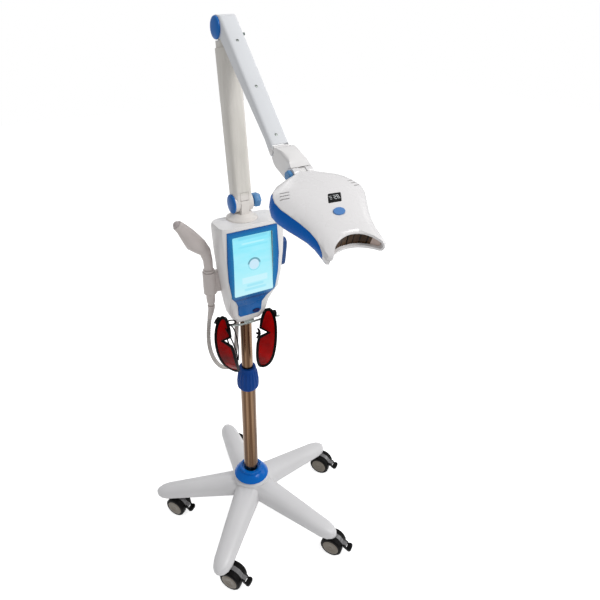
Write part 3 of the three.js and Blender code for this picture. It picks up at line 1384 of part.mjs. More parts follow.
function coolingFan() {
  const { radius, hub, height, blades, bladeThickness, bladeTilt } = fan;
  const centre = rodZ(hub, 0, height, 16);
  const half = bladeThickness / 2;
  const vanes = [];
  for (let i = 0; i < blades; i += 1) {
    const vane = block(hub * 0.5, radius, -half, half, height * 0.08, height * 0.92)
      .rotateX(bladeTilt * DEGREE).translate(0, 0, height * 0.04).rotateZ((2 * Math.PI * i) / blades);
    vanes.push(vane);
  }
  return cut(join(centre, ...vanes), rodZ(fan.post + fit, -overrun, fan.postTop - fan.bottom + fit, 12))
    .translate(0, -fan.s, fan.bottom);
}

// Assembly
const base = new THREE.Group();
lamp.add(base);
add(base, 'star_base', starBase(), 'baseWhite');
add(base, 'base_collar', baseCollar(), 'blue');
add(base, 'lower_pole', lowerPole(), 'steel');
add(base, 'pole_nut', poleNut(), 'zinc');
add(base, 'clamp_sleeve', clampSleeve(), 'blue');
addCastors(base);

const column = new THREE.Group();
lamp.add(column);
const shells = boxShells();
add(column, 'upper_pole', upperPole(), 'steel');
add(column, 'box_rear_shell', shells.rearShell, 'shell');
add(column, 'box_front_shell', shells.frontShell, 'shell');
add(column, 'screen_bezel', bezelFrame(), 'bezelBlue');
add(column, 'touch_screen', screenPane(0), 'cyan');
add(column, 'power_key', powerKey(), 'deepBlue');
add(column, 'side_grip', sideGrip(), 'deepBlue');
add(column, 'control_board', controlBoard(), 'green');
add(column, 'power_supply', powerSupply(), 'aluminium');
add(column, 'handpiece_holder', holderCup(), 'grey');
add(column, 'handpiece_body', handpieceBody(), 'grey');
add(column, 'handpiece_lens', handpieceLens(), 'black');
add(column, 'handpiece_cable', tube(cablePlaces, cable.radius, cable.sides, cable.steps), 'grey');
add(column, 'hook_rail', hookRail(), 'zinc');

function addGoggles(name, { x, y, drop, tilt, turn, side }) {
  const group = new THREE.Group();
  group.position.set(x, y, box.bottom - drop);
  group.rotation.set(0, tilt * DEGREE, turn * DEGREE);
  column.add(group);
  const lens = side > 0 ? goggleLens() : mirrored(goggleLens());
  const frame = side > 0 ? goggleFrame() : mirrored(goggleFrame());
  add(group, `${name}_lens`, lens, 'red');
  add(group, `${name}_frame`, frame, 'black');
}
addGoggles('goggles_left', leftGoggles);
addGoggles('goggles_right', rightGoggles);

const turning = new THREE.Group();
lamp.add(turning);
add(turning, 'turret', turretBody(), 'armCream');

const lower = new THREE.Group();
lower.position.set(0, 0, footPivotHeight);
lower.rotation.x = -armLean;
turning.add(lower);
add(lower, 'lower_arm', lowerArm(), 'armCream');
const footPinEnd = arm.side / 2 + knob.neck + knob.length * 0.5;
add(lower, 'foot_cap', capWithPin(-arm.side / 2 - fit, footPinEnd), 'blue');
add(lower, 'foot_knob', footKnob(), 'blue');

const upper = new THREE.Group();
upper.position.set(0, 0, armLength);
upper.rotation.x = forearm.pitch * DEGREE + armLean;
lower.add(upper);
add(upper, 'forearm_cover', forearmCover(), 'shell');
add(upper, 'forearm_tray', forearmTray(), 'shell');
add(upper, 'balance_spring', balanceSpring(), 'zinc');
const elbowPinEnd = forearm.width / 2 + lever.hubLength * 0.6;
add(upper, 'elbow_cap', capWithPin(-forearm.width / 2 - fit, elbowPinEnd), 'blue');
add(upper, 'elbow_lever', elbowLever(), 'zinc');

const knuckle = new THREE.Group();
knuckle.position.set(0, -forearm.length, forearm.endDrop);
knuckle.rotation.x = (wrist.pitch - forearm.pitch) * DEGREE;
upper.add(knuckle);
add(knuckle, 'wrist_knuckle', wristKnuckle(), 'shell');
add(knuckle, 'wrist_pin', wristPin(), 'zinc');

const lampHead = new THREE.Group();
lampHead.position.set(0, -wrist.length, 0);
lampHead.rotation.x = (head.pitch - wrist.pitch) * DEGREE;
knuckle.add(lampHead);
const headParts = headShells();
add(lampHead, 'head_top_shell', headParts.topShell, 'shell');
add(lampHead, 'head_bottom_shell', headParts.bottomShell, 'shell');
add(lampHead, 'head_panel_right', sidePanel(), 'deepBlue');
add(lampHead, 'head_panel_left', mirrored(sidePanel()), 'deepBlue');
add(lampHead, 'head_display', skinPiece(displayTool(0), display), 'black');
add(lampHead, 'head_button', skinPiece(buttonTool(0), button), 'blue');
add(lampHead, 'light_window', lightWindow(), 'amber');
add(lampHead, 'led_board', ledPlate(), 'green');
add(lampHead, 'heat_sink', heatSink(), 'aluminium');
add(lampHead, 'cooling_fan', coolingFan(), 'black');
add(lampHead, 'wrist_knob', headKnob(), 'blue');

// The centre of the footprint becomes the origin
lamp.updateMatrixWorld(true);
const bounds = new THREE.Box3().setFromObject(lamp, true);
const middle = bounds.getCenter(new THREE.Vector3());
lamp.position.set(-middle.x, -middle.y, -bounds.min.z);
lamp.updateMatrixWorld(true);

export default lamp;
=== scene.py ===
import json
import math

import bmesh
import bpy
import numpy as np
from mathutils import Matrix, Vector
from mathutils.bvhtree import BVHTree


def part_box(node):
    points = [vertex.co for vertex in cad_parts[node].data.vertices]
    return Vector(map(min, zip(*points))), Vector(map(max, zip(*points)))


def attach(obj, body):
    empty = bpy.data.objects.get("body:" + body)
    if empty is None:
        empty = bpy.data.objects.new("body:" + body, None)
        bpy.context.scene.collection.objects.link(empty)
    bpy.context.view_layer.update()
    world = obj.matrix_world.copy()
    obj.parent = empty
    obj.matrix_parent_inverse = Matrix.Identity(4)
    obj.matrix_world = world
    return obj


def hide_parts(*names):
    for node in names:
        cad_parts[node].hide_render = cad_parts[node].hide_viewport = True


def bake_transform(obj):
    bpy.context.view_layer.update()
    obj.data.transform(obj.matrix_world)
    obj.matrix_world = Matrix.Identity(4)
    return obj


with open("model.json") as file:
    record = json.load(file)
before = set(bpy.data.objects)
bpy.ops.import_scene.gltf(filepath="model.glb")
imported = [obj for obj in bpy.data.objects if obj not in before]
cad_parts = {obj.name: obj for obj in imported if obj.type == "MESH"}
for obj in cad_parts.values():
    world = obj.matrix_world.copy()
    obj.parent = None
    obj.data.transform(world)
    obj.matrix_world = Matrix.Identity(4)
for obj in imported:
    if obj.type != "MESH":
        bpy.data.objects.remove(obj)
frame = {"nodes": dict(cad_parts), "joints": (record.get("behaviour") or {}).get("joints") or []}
nodes = frame["nodes"]
joints = {joint["name"]: joint for joint in frame["joints"]}
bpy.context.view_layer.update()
MM = 0.001

# The pole axis stands at this place of the row frame
AXIS = Vector((-0.020279578, 0.066153614, 0.0))

# Camera of the photograph: lens and shift, place in metres, and the directions of its picture
SENSOR_WIDTH = 36.0
LENS = 32.047
SHIFT_X = 0.06095
SHIFT_Y = -0.00907
CLIP_START = 0.01
CLIP_END = 50.0
CAMERA_PLACE = Vector((-0.46603167, -0.89757579, 1.31507116))
CAMERA_RIGHT = Vector((0.88579963, -0.46381045, -0.01545619))
CAMERA_UP = Vector((0.2424348, 0.43409622, 0.86763232))
CAMERA_AHEAD = Vector((0.39570746, 0.7722955, -0.49696606))


def here(x, y, z):
    """A point given in millimetres from the pole axis, in the row frame."""
    return AXIS + Vector((x, y, z)) * MM


def add_object(name, data):
    """A new object in the scene."""
    obj = bpy.data.objects.new(name, data)
    bpy.context.scene.collection.objects.link(obj)
    return obj


def add_camera():
    data = bpy.data.cameras.new("camera")
    data.sensor_width = SENSOR_WIDTH
    data.lens = LENS
    data.shift_x = SHIFT_X
    data.shift_y = SHIFT_Y
    data.clip_start = CLIP_START
    data.clip_end = CLIP_END
    camera = add_object("camera", data)
    turn = Matrix((CAMERA_RIGHT, CAMERA_UP, -CAMERA_AHEAD)).transposed()
    camera.matrix_world = Matrix.Translation(CAMERA_PLACE) @ turn.to_4x4()
    bpy.context.scene.camera = camera


add_camera()


# Curves and the shapes made along them
def catmull(points, steps):
    """Places along a centripetal Catmull-Rom curve through points."""
    points = [Vector(p) for p in points]
    points = [points[0] * 2 - points[1]] + points + [points[-1] * 2 - points[-2]]
    line = []
    for a, b, c, d in zip(points, points[1:], points[2:], points[3:]):
        t0, t1 = 0.0, (b - a).length ** 0.5
        t2 = t1 + (c - b).length ** 0.5
        t3 = t2 + (d - c).length ** 0.5
        for k in range(steps):
            t = t1 + (t2 - t1) * k / steps
            ab = a.lerp(b, (t - t0) / (t1 - t0))
            bc = b.lerp(c, (t - t1) / (t2 - t1))
            cd = c.lerp(d, (t - t2) / (t3 - t2))
            abc = ab.lerp(bc, (t - t0) / (t2 - t0))
            bcd = bc.lerp(cd, (t - t1) / (t3 - t1))
            line.append(abc.lerp(bcd, (t - t1) / (t2 - t1)))
    line.append(points[-2])
    return line


def fine_line(line, step):
    """The same line with places close together."""
    made = []
    for one, two in zip(line, line[1:]):
        count = max(1, round((two - one).length / step))
        made += [one.lerp(two, k / count) for k in range(count)]
    return made + [line[-1]]


def skin(bm, rings):
    """Faces between rings of points, and one face over each end."""
    for one, two in zip(rings, rings[1:]):
        for k in range(len(one)):
            n = (k + 1) % len(one)
            bm.faces.new((one[k], one[n], two[n], two[k]))
    bm.faces.new(rings[0][::-1])
    bm.faces.new(rings[-1])


def tube(line, radii, segments=16):
    """A round tube with closed ends along a line, with a radius at each place."""
    bm = bmesh.new()
    rings = []
    turns = [2 * math.pi * k / segments for k in range(segments)]
    side = Vector((0, 1, 0))
    for k, place in enumerate(line):
        way = (line[min(k + 1, len(line) - 1)] - line[max(k - 1, 0)]).normalized()
        side = (side - way * side.dot(way)).normalized()
        over = way.cross(side)
        rings.append([bm.verts.new(place + (side * math.cos(a) + over * math.sin(a)) * radii[k])
                      for a in turns])
    skin(bm, rings)
    bmesh.ops.recalc_face_normals(bm, faces=bm.faces)
    return bm


def mesh_object(name, bm):
    """An object with a made mesh, which is used up."""
    mesh = bpy.data.meshes.new(name)
    bm.to_mesh(mesh)
    bm.free()
    return add_object(name, mesh)


# The handpiece cable: from the foot of the handpiece, down in a loop and up into the gland of the box
CABLE_PLACES = [
    (-80, 8, 699.4), (-80.6, 8, 690), (-86, 8, 668), (-90.5, 8, 640), (-93, 7, 612), (-92, 6, 586),
    (-86.5, 5, 560), (-77, 4, 538), (-64.5, 3, 523.5), (-51, 2, 519), (-39.5, 2, 527), (-31.8, 2, 545),
    (-27.4, 2, 573), (-24.6, 2, 604), (-23, 2, 640), (-23, 2, 660),
]
CABLE_STEPS = 8
cable_line = catmull([here(*place) for place in CABLE_PLACES], CABLE_STEPS)

# The descending side of the loop has a ribbed sleeve: of every four places along it, two are a groove.
# The rest of the jacket is smooth.
JACKET_RADIUS = 4.95
JACKET_GROOVE = 1.1
JACKET_STEP = 1.1
RIB_PLACES = 4
GROOVE_PLACES = 2
SLEEVE_RIGHT = -70
SLEEVE_LOW = 589
SLEEVE_HIGH = 662


def jacket_radius(k, place):
    """Radius at the place with number k."""
    on_left = place.x < here(SLEEVE_RIGHT, 0, 0).x
    ribbed = on_left and SLEEVE_LOW * MM < place.z < SLEEVE_HIGH * MM
    groove = JACKET_GROOVE if ribbed and k % RIB_PLACES < GROOVE_PLACES else 0.0
    return (JACKET_RADIUS - groove) * MM


jacket_line = fine_line(cable_line, JACKET_STEP * MM)
jacket_radii = [jacket_radius(k, place) for k, place in enumerate(jacket_line)]
cable = mesh_object("handpiece_cord", tube(jacket_line, jacket_radii))
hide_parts("handpiece_cable")
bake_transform(cable)

# Sockets of the colour mix node, by number
MIX_FACTOR = 0
MIX_A = 6
MIX_B = 7
MIX_RESULT = 2

# Cells to the metre of the noise that the finishes share
SLOW = 9.0
SCUFFS = 70.0
WEAR = 45.0
GRAIN = 2600.0


def linear(r, g, b):
    """An sRGB colour of 0 to 255 as linear values."""
    def channel(v):
        v /= 255
        return v / 12.92 if v <= 0.04045 else ((v + 0.055) / 1.055) ** 2.4
    return (channel(r), channel(g), channel(b), 1.0)


def shade(colour, share):
    """The colour made darker or lighter by a share."""
    return (colour[0] * share, colour[1] * share, colour[2] * share, 1.0)


class Nodes:
    """A material whose node tree is made step by step; lengths are in millimetres."""

    def __init__(self, name):
        self.material = bpy.data.materials.new(name)
        self.material.use_nodes = True
        self.tree = self.material.node_tree
        self.tree.nodes.clear()
        output = self.node("ShaderNodeOutputMaterial")
        self.shader = self.node("ShaderNodeBsdfPrincipled")
        self.tree.links.new(self.shader.outputs[0], output.inputs[0])
        self.place = self.node("ShaderNodeTexCoord").outputs["Object"]

    def feed(self, socket, value):
        """Links an input to a source, or sets its value."""
        if isinstance(value, bpy.types.NodeSocket):
            self.tree.links.new(value, socket)
        else:
            socket.default_value = value

    def node(self, kind, inputs=None, **settings):
        """A node with its settings, and values or sources for its inputs."""
        made = self.tree.nodes.new(kind)
        for key, value in settings.items():
            setattr(made, key, value)
        for key, value in (inputs or {}).items():
            self.feed(made.inputs[key], value)
        return made

    def give(self, **values):
        """Values or sources for the inputs of the shader."""
        for key, value in values.items():
            self.feed(self.shader.inputs[key.replace("_", " ")], value)

    def split(self):
        """The x, y and z of the place."""
        return self.node("ShaderNodeSeparateXYZ", {0: self.place}).outputs

    def stretched(self, x, y, z, vector=None):
        inputs = {"Scale": (x, y, z), "Vector": vector or self.place}
        return self.node("ShaderNodeMapping", inputs).outputs[0]

    def noise(self, scale, detail, vector=None, roughness=0.5):
        inputs = {"Scale": scale, "Detail": detail, "Roughness": roughness, "Vector": vector or self.place}
        return self.node("ShaderNodeTexNoise", inputs).outputs["Fac"]

    def ramp(self, factor, stops):
        made = self.node("ShaderNodeValToRGB", {"Fac": factor})
        elements = made.color_ramp.elements
        while len(elements) < len(stops):
            elements.new(0.5)
        for element, (place, colour) in zip(elements, stops):
            element.position = place
            element.color = colour
        return made.outputs["Color"]

    def range(self, factor, low, high, start=0.3, end=0.7):
        """Values from low to high as the factor runs from start to end."""
        inputs = {"Value": factor, "From Min": start, "From Max": end, "To Min": low, "To Max": high}
        return self.node("ShaderNodeMapRange", inputs).outputs[0]

    def mix(self, factor, a, b, blend="MIX"):
        inputs = {MIX_FACTOR: factor, MIX_A: a, MIX_B: b}
        return self.node("ShaderNodeMix", inputs, data_type="RGBA", blend_type=blend).outputs[MIX_RESULT]

    def number(self, operation, *values):
        return self.node("ShaderNodeMath", dict(enumerate(values)), operation=operation).outputs[0]

    def step(self, value, edge, soft):
        """Zero below the edge and one above it, over a soft border."""
        return self.range(value, 0.0, 1.0, (edge - soft) * MM, (edge + soft) * MM)

    def window(self, value, low, high, soft):
        """One between two edges and zero outside them."""
        below_high = self.number("SUBTRACT", 1.0, self.step(value, high, soft))
        return self.number("MULTIPLY", self.step(value, low, soft), below_high)

    def rounded(self, radius):
        """A normal that rounds the edges off by a radius."""
        return self.node("ShaderNodeBevel", {"Radius": radius * MM}, samples=4).outputs[0]

    def bump(self, height, strength, distance, normal=None):
        inputs = {"Strength": strength, "Distance": distance * MM, "Height": height}
        if normal:
            inputs["Normal"] = normal
        return self.node("ShaderNodeBump", inputs).outputs[0]

    def surface(self, low, high, strength, grain, edge):
        """Roughness that wanders between two values, and a fine grain over softened edges."""
        self.give(Roughness=self.range(self.noise(WEAR, 5.0), low, high))
        self.give(Normal=self.bump(self.noise(GRAIN, 2.0), strength, grain, self.rounded(edge)))

    def lay(self, mask, strength, colour, field):
        """The field with a colour of 0 to 255 laid over it where the mask is one."""
        return self.mix(self.number("MULTIPLY", mask, strength), field, linear(*colour))


def moulded(name, colour, roughness, spread=0.04, grain=0.04, edge=0.8, coat=0.0, dirt=0.0, shine=0.5):
    """Injection-moulded plastic or powder coat: slow tone changes, fine grain, softened edges."""
    m = Nodes(name)
    tone = m.ramp(m.noise(SLOW, 4.0), [(0.3, shade(colour, 1 - spread)), (0.7, shade(colour, 1 + spread))])
    if dirt:
        mark = m.range(m.noise(SCUFFS, 6.0, roughness=0.7), 0.0, dirt, start=0.62, end=0.8)
        tone = m.mix(mark, tone, shade(colour, 0.55))
    m.give(Base_Color=tone, Specular_IOR_Level=shine)
    m.surface(roughness * 0.85, roughness * 1.2, strength=0.35, grain=grain, edge=edge)
    if coat:
        m.give(Coat_Weight=coat, Coat_Roughness=0.08)
    return m.material


def metal(name, colour, roughness, spread=0.25):
    """Plated or drawn metal with a cloudy tone and softened edges."""
    m = Nodes(name)
    clouds = m.noise(220.0, 6.0, roughness=0.65)
    tone = m.ramp(clouds, [(0.25, shade(colour, 1 - spread)), (0.75, shade(colour, 1 + spread))])
    m.give(Base_Color=tone, Roughness=m.range(clouds, roughness * 0.7, roughness * 1.4), Metallic=1.0)
    m.give(Normal=m.bump(clouds, strength=0.25, distance=0.04, normal=m.rounded(0.6)))
    return m.material


# Height above the floor where the light foot of the lower arm ends, and over how much it fades
ARM_FOOT_TOP = 949
ARM_FOOT_FADE = 3


def arm_paint():
    """Painted tube with faint lighter streaks along it that stand in for its sheen (painted highlight),
    lighter round its foot.
    """
    m = Nodes("arm_paint")
    slow = m.ramp(m.noise(7.0, 3.0), [(0.3, linear(206, 202, 194)), (0.7, linear(220, 216, 209))])
    # Painted highlight: lighter streaks along the tube in place of its sheen.
    sheen_streaks = m.noise(150.0, 4.0, m.stretched(1, 1, 0.01), roughness=0.6)
    tone = m.mix(m.range(sheen_streaks, 0.0, 0.4), slow, linear(240, 236, 229))
    height = m.split()[2]
    foot = m.range(height, 0.6, 0.0, ARM_FOOT_TOP * MM, (ARM_FOOT_TOP + ARM_FOOT_FADE) * MM)
    m.give(Base_Color=m.mix(foot, tone, linear(236, 230, 226)))
    m.surface(0.32, 0.44, strength=0.35, grain=0.05, edge=1.0)
    return m.material


def pole_metal_painted_reflection():
    """Stainless tube, brushed along its length, with warm dark and light bands along it that stand in for
    its reflections (painted reflection).
    """
    m = Nodes("pole_steel_painted_reflection")
    from_axis = m.node("ShaderNodeVectorMath", {0: m.place, 1: AXIS}, operation="SUBTRACT").outputs[0]
    drawn = m.stretched(1.0, 1.0, 0.004, from_axis)
    # Painted reflection: dark and light bands along the tube in place of what it reflects.
    reflection_band = m.noise(95.0, 3.0, drawn, roughness=0.6)
    hair = m.noise(700.0, 4.0, drawn, roughness=0.7)
    tone = m.ramp(reflection_band, [
        (0.26, linear(48, 30, 20)),
        (0.44, linear(84, 57, 36)),
        (0.56, linear(140, 112, 86)),
        (0.68, linear(66, 44, 28)),
    ])
    tone = m.mix(m.range(hair, 0.0, 0.14), tone, linear(178, 158, 138))
    m.give(Base_Color=tone, Roughness=m.range(hair, 0.2, 0.34), Metallic=1.0, Anisotropic=0.5)
    m.give(Normal=m.bump(hair, strength=0.2, distance=0.03, normal=m.rounded(0.5)))
    return m.material


# What the lit screen shows, in millimetres from the middle of its dial
DIAL_MIDDLE = here(3.5, 0, 806)
DIAL_RADIUS = 11.5
RING_RADIUS = 15.5
PALE_RING = (12.6, 14.4)
RING_FOOT = 1.5
FINE_BORDER = 0.6
DIAL_BORDER = 1.0
WIDE_BORDER = 2.0

# Bands: middle height, half height, half width, colour and strength
SCREEN_BANDS = [
    (62, 3, 34, (108, 214, 240), 0.55),
    (50, 2, 26, (196, 250, 254), 0.8),
    (43, 1.6, 34, (122, 222, 242), 0.5),
    (-34, 7, 30, (226, 250, 252), 0.7),
    (-47, 3, 20, (150, 224, 240), 0.6),
    (-56, 3, 26, (150, 224, 240), 0.6),
]


def screen_field(m, z):
    """A cyan field, brighter at its foot, with soft clouds."""
    low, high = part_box("touch_screen")
    field = m.ramp(m.range(z, 0.0, 1.0, low.z, high.z), [
        (0.02, linear(208, 246, 248)),
        (0.30, linear(178, 243, 248)),
        (0.55, linear(160, 240, 249)),
        (0.80, linear(140, 238, 250)),
        (1.0, linear(118, 232, 252)),
    ])
    clouds = m.noise(26.0, 3.0, m.stretched(1, 1, 3.2))
    return m.mix(m.range(clouds, 0.0, 0.35), field, linear(206, 249, 254))


def screen_bands(m, field, across, over):
    """Soft bands above and below the dial."""
    for height, half_height, half_width, colour, strength in SCREEN_BANDS:
        band = m.number("MULTIPLY",
                        m.window(over, height - half_height, height + half_height, FINE_BORDER),
                        m.window(across, -half_width, half_width, WIDE_BORDER))
        field = m.lay(band, strength, colour, field)
    return field


def screen_dial(m, field, across, over):
    """A pale disc with a dark ring round its upper half and a pale one round its lower half."""
    squares = m.number("ADD", m.number("MULTIPLY", across, across), m.number("MULTIPLY", over, over))
    away = m.number("SQRT", squares)
    disc = m.number("SUBTRACT", 1.0, m.step(away, DIAL_RADIUS, DIAL_BORDER))
    field = m.lay(disc, 0.85, (226, 232, 244), field)
    upper = m.step(over, RING_FOOT, WIDE_BORDER)
    ring = m.number("MULTIPLY", m.window(away, DIAL_RADIUS, RING_RADIUS, FINE_BORDER), upper)
    field = m.lay(ring, 0.85, (52, 84, 98), field)
    lower = m.number("SUBTRACT", 1.0, upper)
    pale = m.number("MULTIPLY", m.window(away, *PALE_RING, FINE_BORDER), lower)
    return m.lay(pale, 0.6, (120, 196, 214), field)


def screen_glass():
    """The lit screen behind its glass: a field, bands and a plain dial."""
    m = Nodes("touch_screen")
    x, _, z = m.split()
    across = m.number("SUBTRACT", x, DIAL_MIDDLE.x)
    over = m.number("SUBTRACT", z, DIAL_MIDDLE.z)
    field = screen_dial(m, screen_bands(m, screen_field(m, z), across, over), across, over)
    m.give(Base_Color=linear(40, 120, 140), Roughness=0.14, Coat_Weight=0.4)
    m.give(Emission_Color=field, Emission_Strength=0.74, Normal=m.rounded(0.5))
    return m.material


# Width over which the painted shade of the bezel runs, outwards from the screen
BEZEL_SHADE_WIDTH = 20


def bezel_with_painted_shade():
    """Painted shade and highlight: the bezel runs from light teal beside the screen to navy further out,
    as its sloped bevel would be lit, with a painted highlight at its edge.
    """
    m = Nodes("bezel_blue")
    low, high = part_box("touch_screen")
    middle = (low + high) / 2
    half = (high - low) / 2
    x, _, z = m.split()

    def outside(value, centre, reach):
        """How far a value lies past the edge of the screen."""
        away = m.number("ABSOLUTE", m.number("SUBTRACT", value, centre))
        return m.number("SUBTRACT", away, reach)

    away = m.number("MAXIMUM", outside(x, middle.x, half.x), outside(z, middle.z, half.z))
    # Painted shade and highlight, set by the distance from the screen.
    tone = m.ramp(m.range(away, 0.0, 1.0, 0.0, BEZEL_SHADE_WIDTH * MM), [
        (0.0, linear(14, 130, 184)),
        (0.25, linear(12, 116, 180)),
        (0.55, linear(8, 96, 168)),
        (0.80, linear(4, 58, 118)),
        (1.0, linear(10, 96, 170)),
    ])
    tone = m.mix(m.range(m.noise(14.0, 4.0), 0.0, 0.3), tone, linear(30, 126, 204))
    m.give(Base_Color=tone, Specular_IOR_Level=0.2)
    m.surface(0.22, 0.32, strength=0.3, grain=0.03, edge=0.6)
    return m.material


def red_lens():
    """Tinted lens with slow waves of darker red that stand in for its shading (painted shade)."""
    m = Nodes("goggle_red")
    # Painted shade: waves of darker red across the lens.
    shade_waves = m.noise(19.0, 2.0)
    tone = m.ramp(shade_waves, [(0.3, linear(104, 0, 0)), (0.5, linear(160, 0, 0)), (0.72, linear(194, 0, 2))])
    m.give(Base_Color=tone, Roughness=m.range(m.noise(60.0, 4.0), 0.12, 0.2), Normal=m.rounded(0.5))
    m.give(Transmission_Weight=0.12, IOR=1.3, Specular_IOR_Level=0.08)
    return m.material


# Lattice of the light window: width and height of a cell, and width of the lines between cells
CELL_WIDTH = 10.5
CELL_HEIGHT = 30
CELL_LINE = 1.1


def dark_window():
    """Dark amber pane with a faint lattice."""
    m = Nodes("light_window")
    tone = m.ramp(m.noise(34.0, 4.0), [(0.3, linear(70, 50, 34)), (0.7, linear(112, 88, 66))])
    cells = m.node("ShaderNodeTexBrick", {
        "Scale": 1.0, "Brick Width": CELL_WIDTH * MM, "Row Height": CELL_HEIGHT * MM,
        "Mortar Size": CELL_LINE * MM, "Color1": linear(255, 250, 245), "Color2": linear(190, 180, 170),
        "Mortar": linear(90, 80, 70), "Vector": m.place,
    })
    m.give(Base_Color=m.mix(1.0, tone, cells.outputs["Color"], "MULTIPLY"), Normal=m.rounded(0.4))
    m.give(Roughness=0.2, Transmission_Weight=0.06, Specular_IOR_Level=0.06)
    return m.material


def soft_jacket():
    """Soft cable jacket: matte, with a very fine texture."""
    m = Nodes("cable_jacket")
    tone = m.ramp(m.noise(30.0, 4.0), [(0.3, linear(178, 172, 167)), (0.7, linear(196, 191, 186))])
    m.give(Base_Color=tone, Roughness=m.range(m.noise(200.0, 3.0), 0.45, 0.6))
    m.give(Normal=m.bump(m.noise(1800.0, 2.0), strength=0.4, distance=0.08))
    return m.material


# Moulded and coated finishes: colour, roughness and what differs from the usual
MOULDED = {
    "shell_white": ((236, 234, 233), 0.34, dict(spread=0.025, shine=0.4)),
    "cover_white": ((226, 228, 231), 0.34, dict(spread=0.025, shine=0.4)),
    # Darker, pinkish white for the inner walls of the mouth: painted shade for the shade inside the mouth.
    "mouth_white_painted_shade": ((200, 181, 172), 0.5, dict(spread=0.03, shine=0.15)),
    "head_white": ((232, 230, 230), 0.26, dict(spread=0.025, coat=0.12)),
    "lit_white": ((236, 240, 240), 0.3, dict(spread=0.02, shine=0.2)),
    "base_powder_coat": ((218, 217, 218), 0.36, dict(spread=0.03, grain=0.07, edge=1.5, dirt=0.08)),
    "handpiece_grey": ((206, 197, 193), 0.36, dict(spread=0.03)),
    "tip_grey": ((186, 176, 175), 0.3, dict(edge=0.5)),
    "castor_grey": ((112, 111, 112), 0.24, dict(spread=0.06, edge=0.6, coat=0.3)),
    "hub_beige": ((130, 122, 111), 0.3, dict(spread=0.08, edge=0.5, shine=0.2)),
    "knob_blue": ((20, 104, 184), 0.42, dict(spread=0.1, shine=0.25)),
    # The knobs' lighter, greyer blue: partly their own colour, partly a painted highlight for the
    # highlights on them.
    "knob_blue_painted_highlight": ((78, 134, 186), 0.36, dict(spread=0.08, shine=0.4)),
    "collar_blue": ((0, 104, 196), 0.2, dict(spread=0.08, edge=1.0, shine=0.16)),
    "panel_blue": ((0, 100, 192), 0.3, dict(spread=0.12, edge=0.6, shine=0.08)),
    "key_navy": ((4, 12, 80), 0.34, dict(spread=0.08, edge=0.6, shine=0.2)),
    "grip_blue": ((34, 72, 128), 0.42, dict(spread=0.08, shine=0.25)),
    "sleeve_blue": ((0, 62, 138), 0.5, dict(spread=0.1, edge=0.5, shine=0.15)),
    "button_blue": ((84, 134, 196), 0.34, dict(spread=0.05, edge=0.5, shine=0.3)),
    "satin_black": ((5, 5, 6), 0.36, dict(spread=0.2, grain=0.05, edge=0.6, dirt=0.1, shine=0.14)),
    "goggle_black": ((6, 3, 4), 0.4, dict(spread=0.2, edge=0.6, shine=0.05)),
    "tread_black": ((12, 11, 11), 0.5, dict(spread=0.15, grain=0.1, edge=1.0, dirt=0.3, shine=0.1)),
    "gloss_black": ((9, 9, 11), 0.12, dict(spread=0.1, grain=0.01, edge=0.4, shine=0.3)),
    "board_green": ((30, 104, 62), 0.45, dict(spread=0.2, edge=0.2)),
}
looks = {name: moulded(name, linear(*colour), roughness, **more)
         for name, (colour, roughness, more) in MOULDED.items()}
looks["zinc_plate"] = metal("zinc_plate", linear(150, 156, 152), 0.32)
looks["dark_zinc"] = metal("dark_zinc", linear(72, 84, 80), 0.45)
looks["aluminium"] = metal("aluminium", linear(190, 192, 196), 0.35, spread=0.1)
looks["arm_paint"] = arm_paint()
looks["pole_steel_painted_reflection"] = pole_metal_painted_reflection()
looks["touch_screen"] = screen_glass()
looks["bezel_blue"] = bezel_with_painted_shade()
looks["goggle_red"] = red_lens()
looks["light_window"] = dark_window()
looks["cable_jacket"] = soft_jacket()

# The solids that each finish dresses
CASTORS = range(1, 6)
DRESSED = {
    "base_powder_coat": ["star_base"],
    "collar_blue": ["base_collar"],
    "pole_steel_painted_reflection": ["lower_pole", "upper_pole"],
    "zinc_plate": ["pole_nut", "hook_rail", "balance_spring"],
    "sleeve_blue": ["clamp_sleeve"],
    "shell_white": ["box_rear_shell", "box_front_shell", "wrist_knuckle", "wrist_pin"],
    "bezel_blue": ["screen_bezel"],
    "touch_screen": ["touch_screen"],
    "key_navy": ["power_key"],
    "grip_blue": ["side_grip"],
    "board_green": ["control_board", "led_board"],
    "aluminium": ["power_supply", "heat_sink"],
    "handpiece_grey": ["handpiece_holder", "handpiece_body"],
    "tip_grey": ["handpiece_lens"],
    "cable_jacket": ["handpiece_cable"],
    "goggle_red": ["goggles_left_lens", "goggles_right_lens"],
    "goggle_black": ["goggles_left_frame", "goggles_right_frame"],
    "arm_paint": ["turret", "lower_arm"],
    "knob_blue": ["foot_cap", "elbow_cap"],
    "knob_blue_painted_highlight": ["foot_knob", "wrist_knob"],
    "cover_white": ["forearm_cover", "forearm_tray"],
    "dark_zinc": ["elbow_lever"],
    "head_white": ["head_top_shell", "head_bottom_shell"],
    "panel_blue": ["head_panel_right", "head_panel_left"],
    "gloss_black": ["head_display"],
    "button_blue": ["head_button"],
    "light_window": ["light_window"],
    "castor_grey": [f"castor_{i}_yoke" for i in CASTORS],
    "tread_black": [f"castor_{i}_wheels" for i in CASTORS],
    "satin_black": ["cooling_fan"] + [f"castor_{i}_brake" for i in CASTORS],
}
look_of = {node: looks[name] for name, dressed in DRESSED.items() for node in dressed}

# Points in one cell are one point, and faces that meet within the crease angle, in degrees, read as a
# curve. The tiny sizes keep an empty face or sum from being divided by zero.
CELLS_PER_METRE = 1e5
CREASE = 38.0
TINY_AREA = 1e-20
TINY_LENGTH = 1e-9


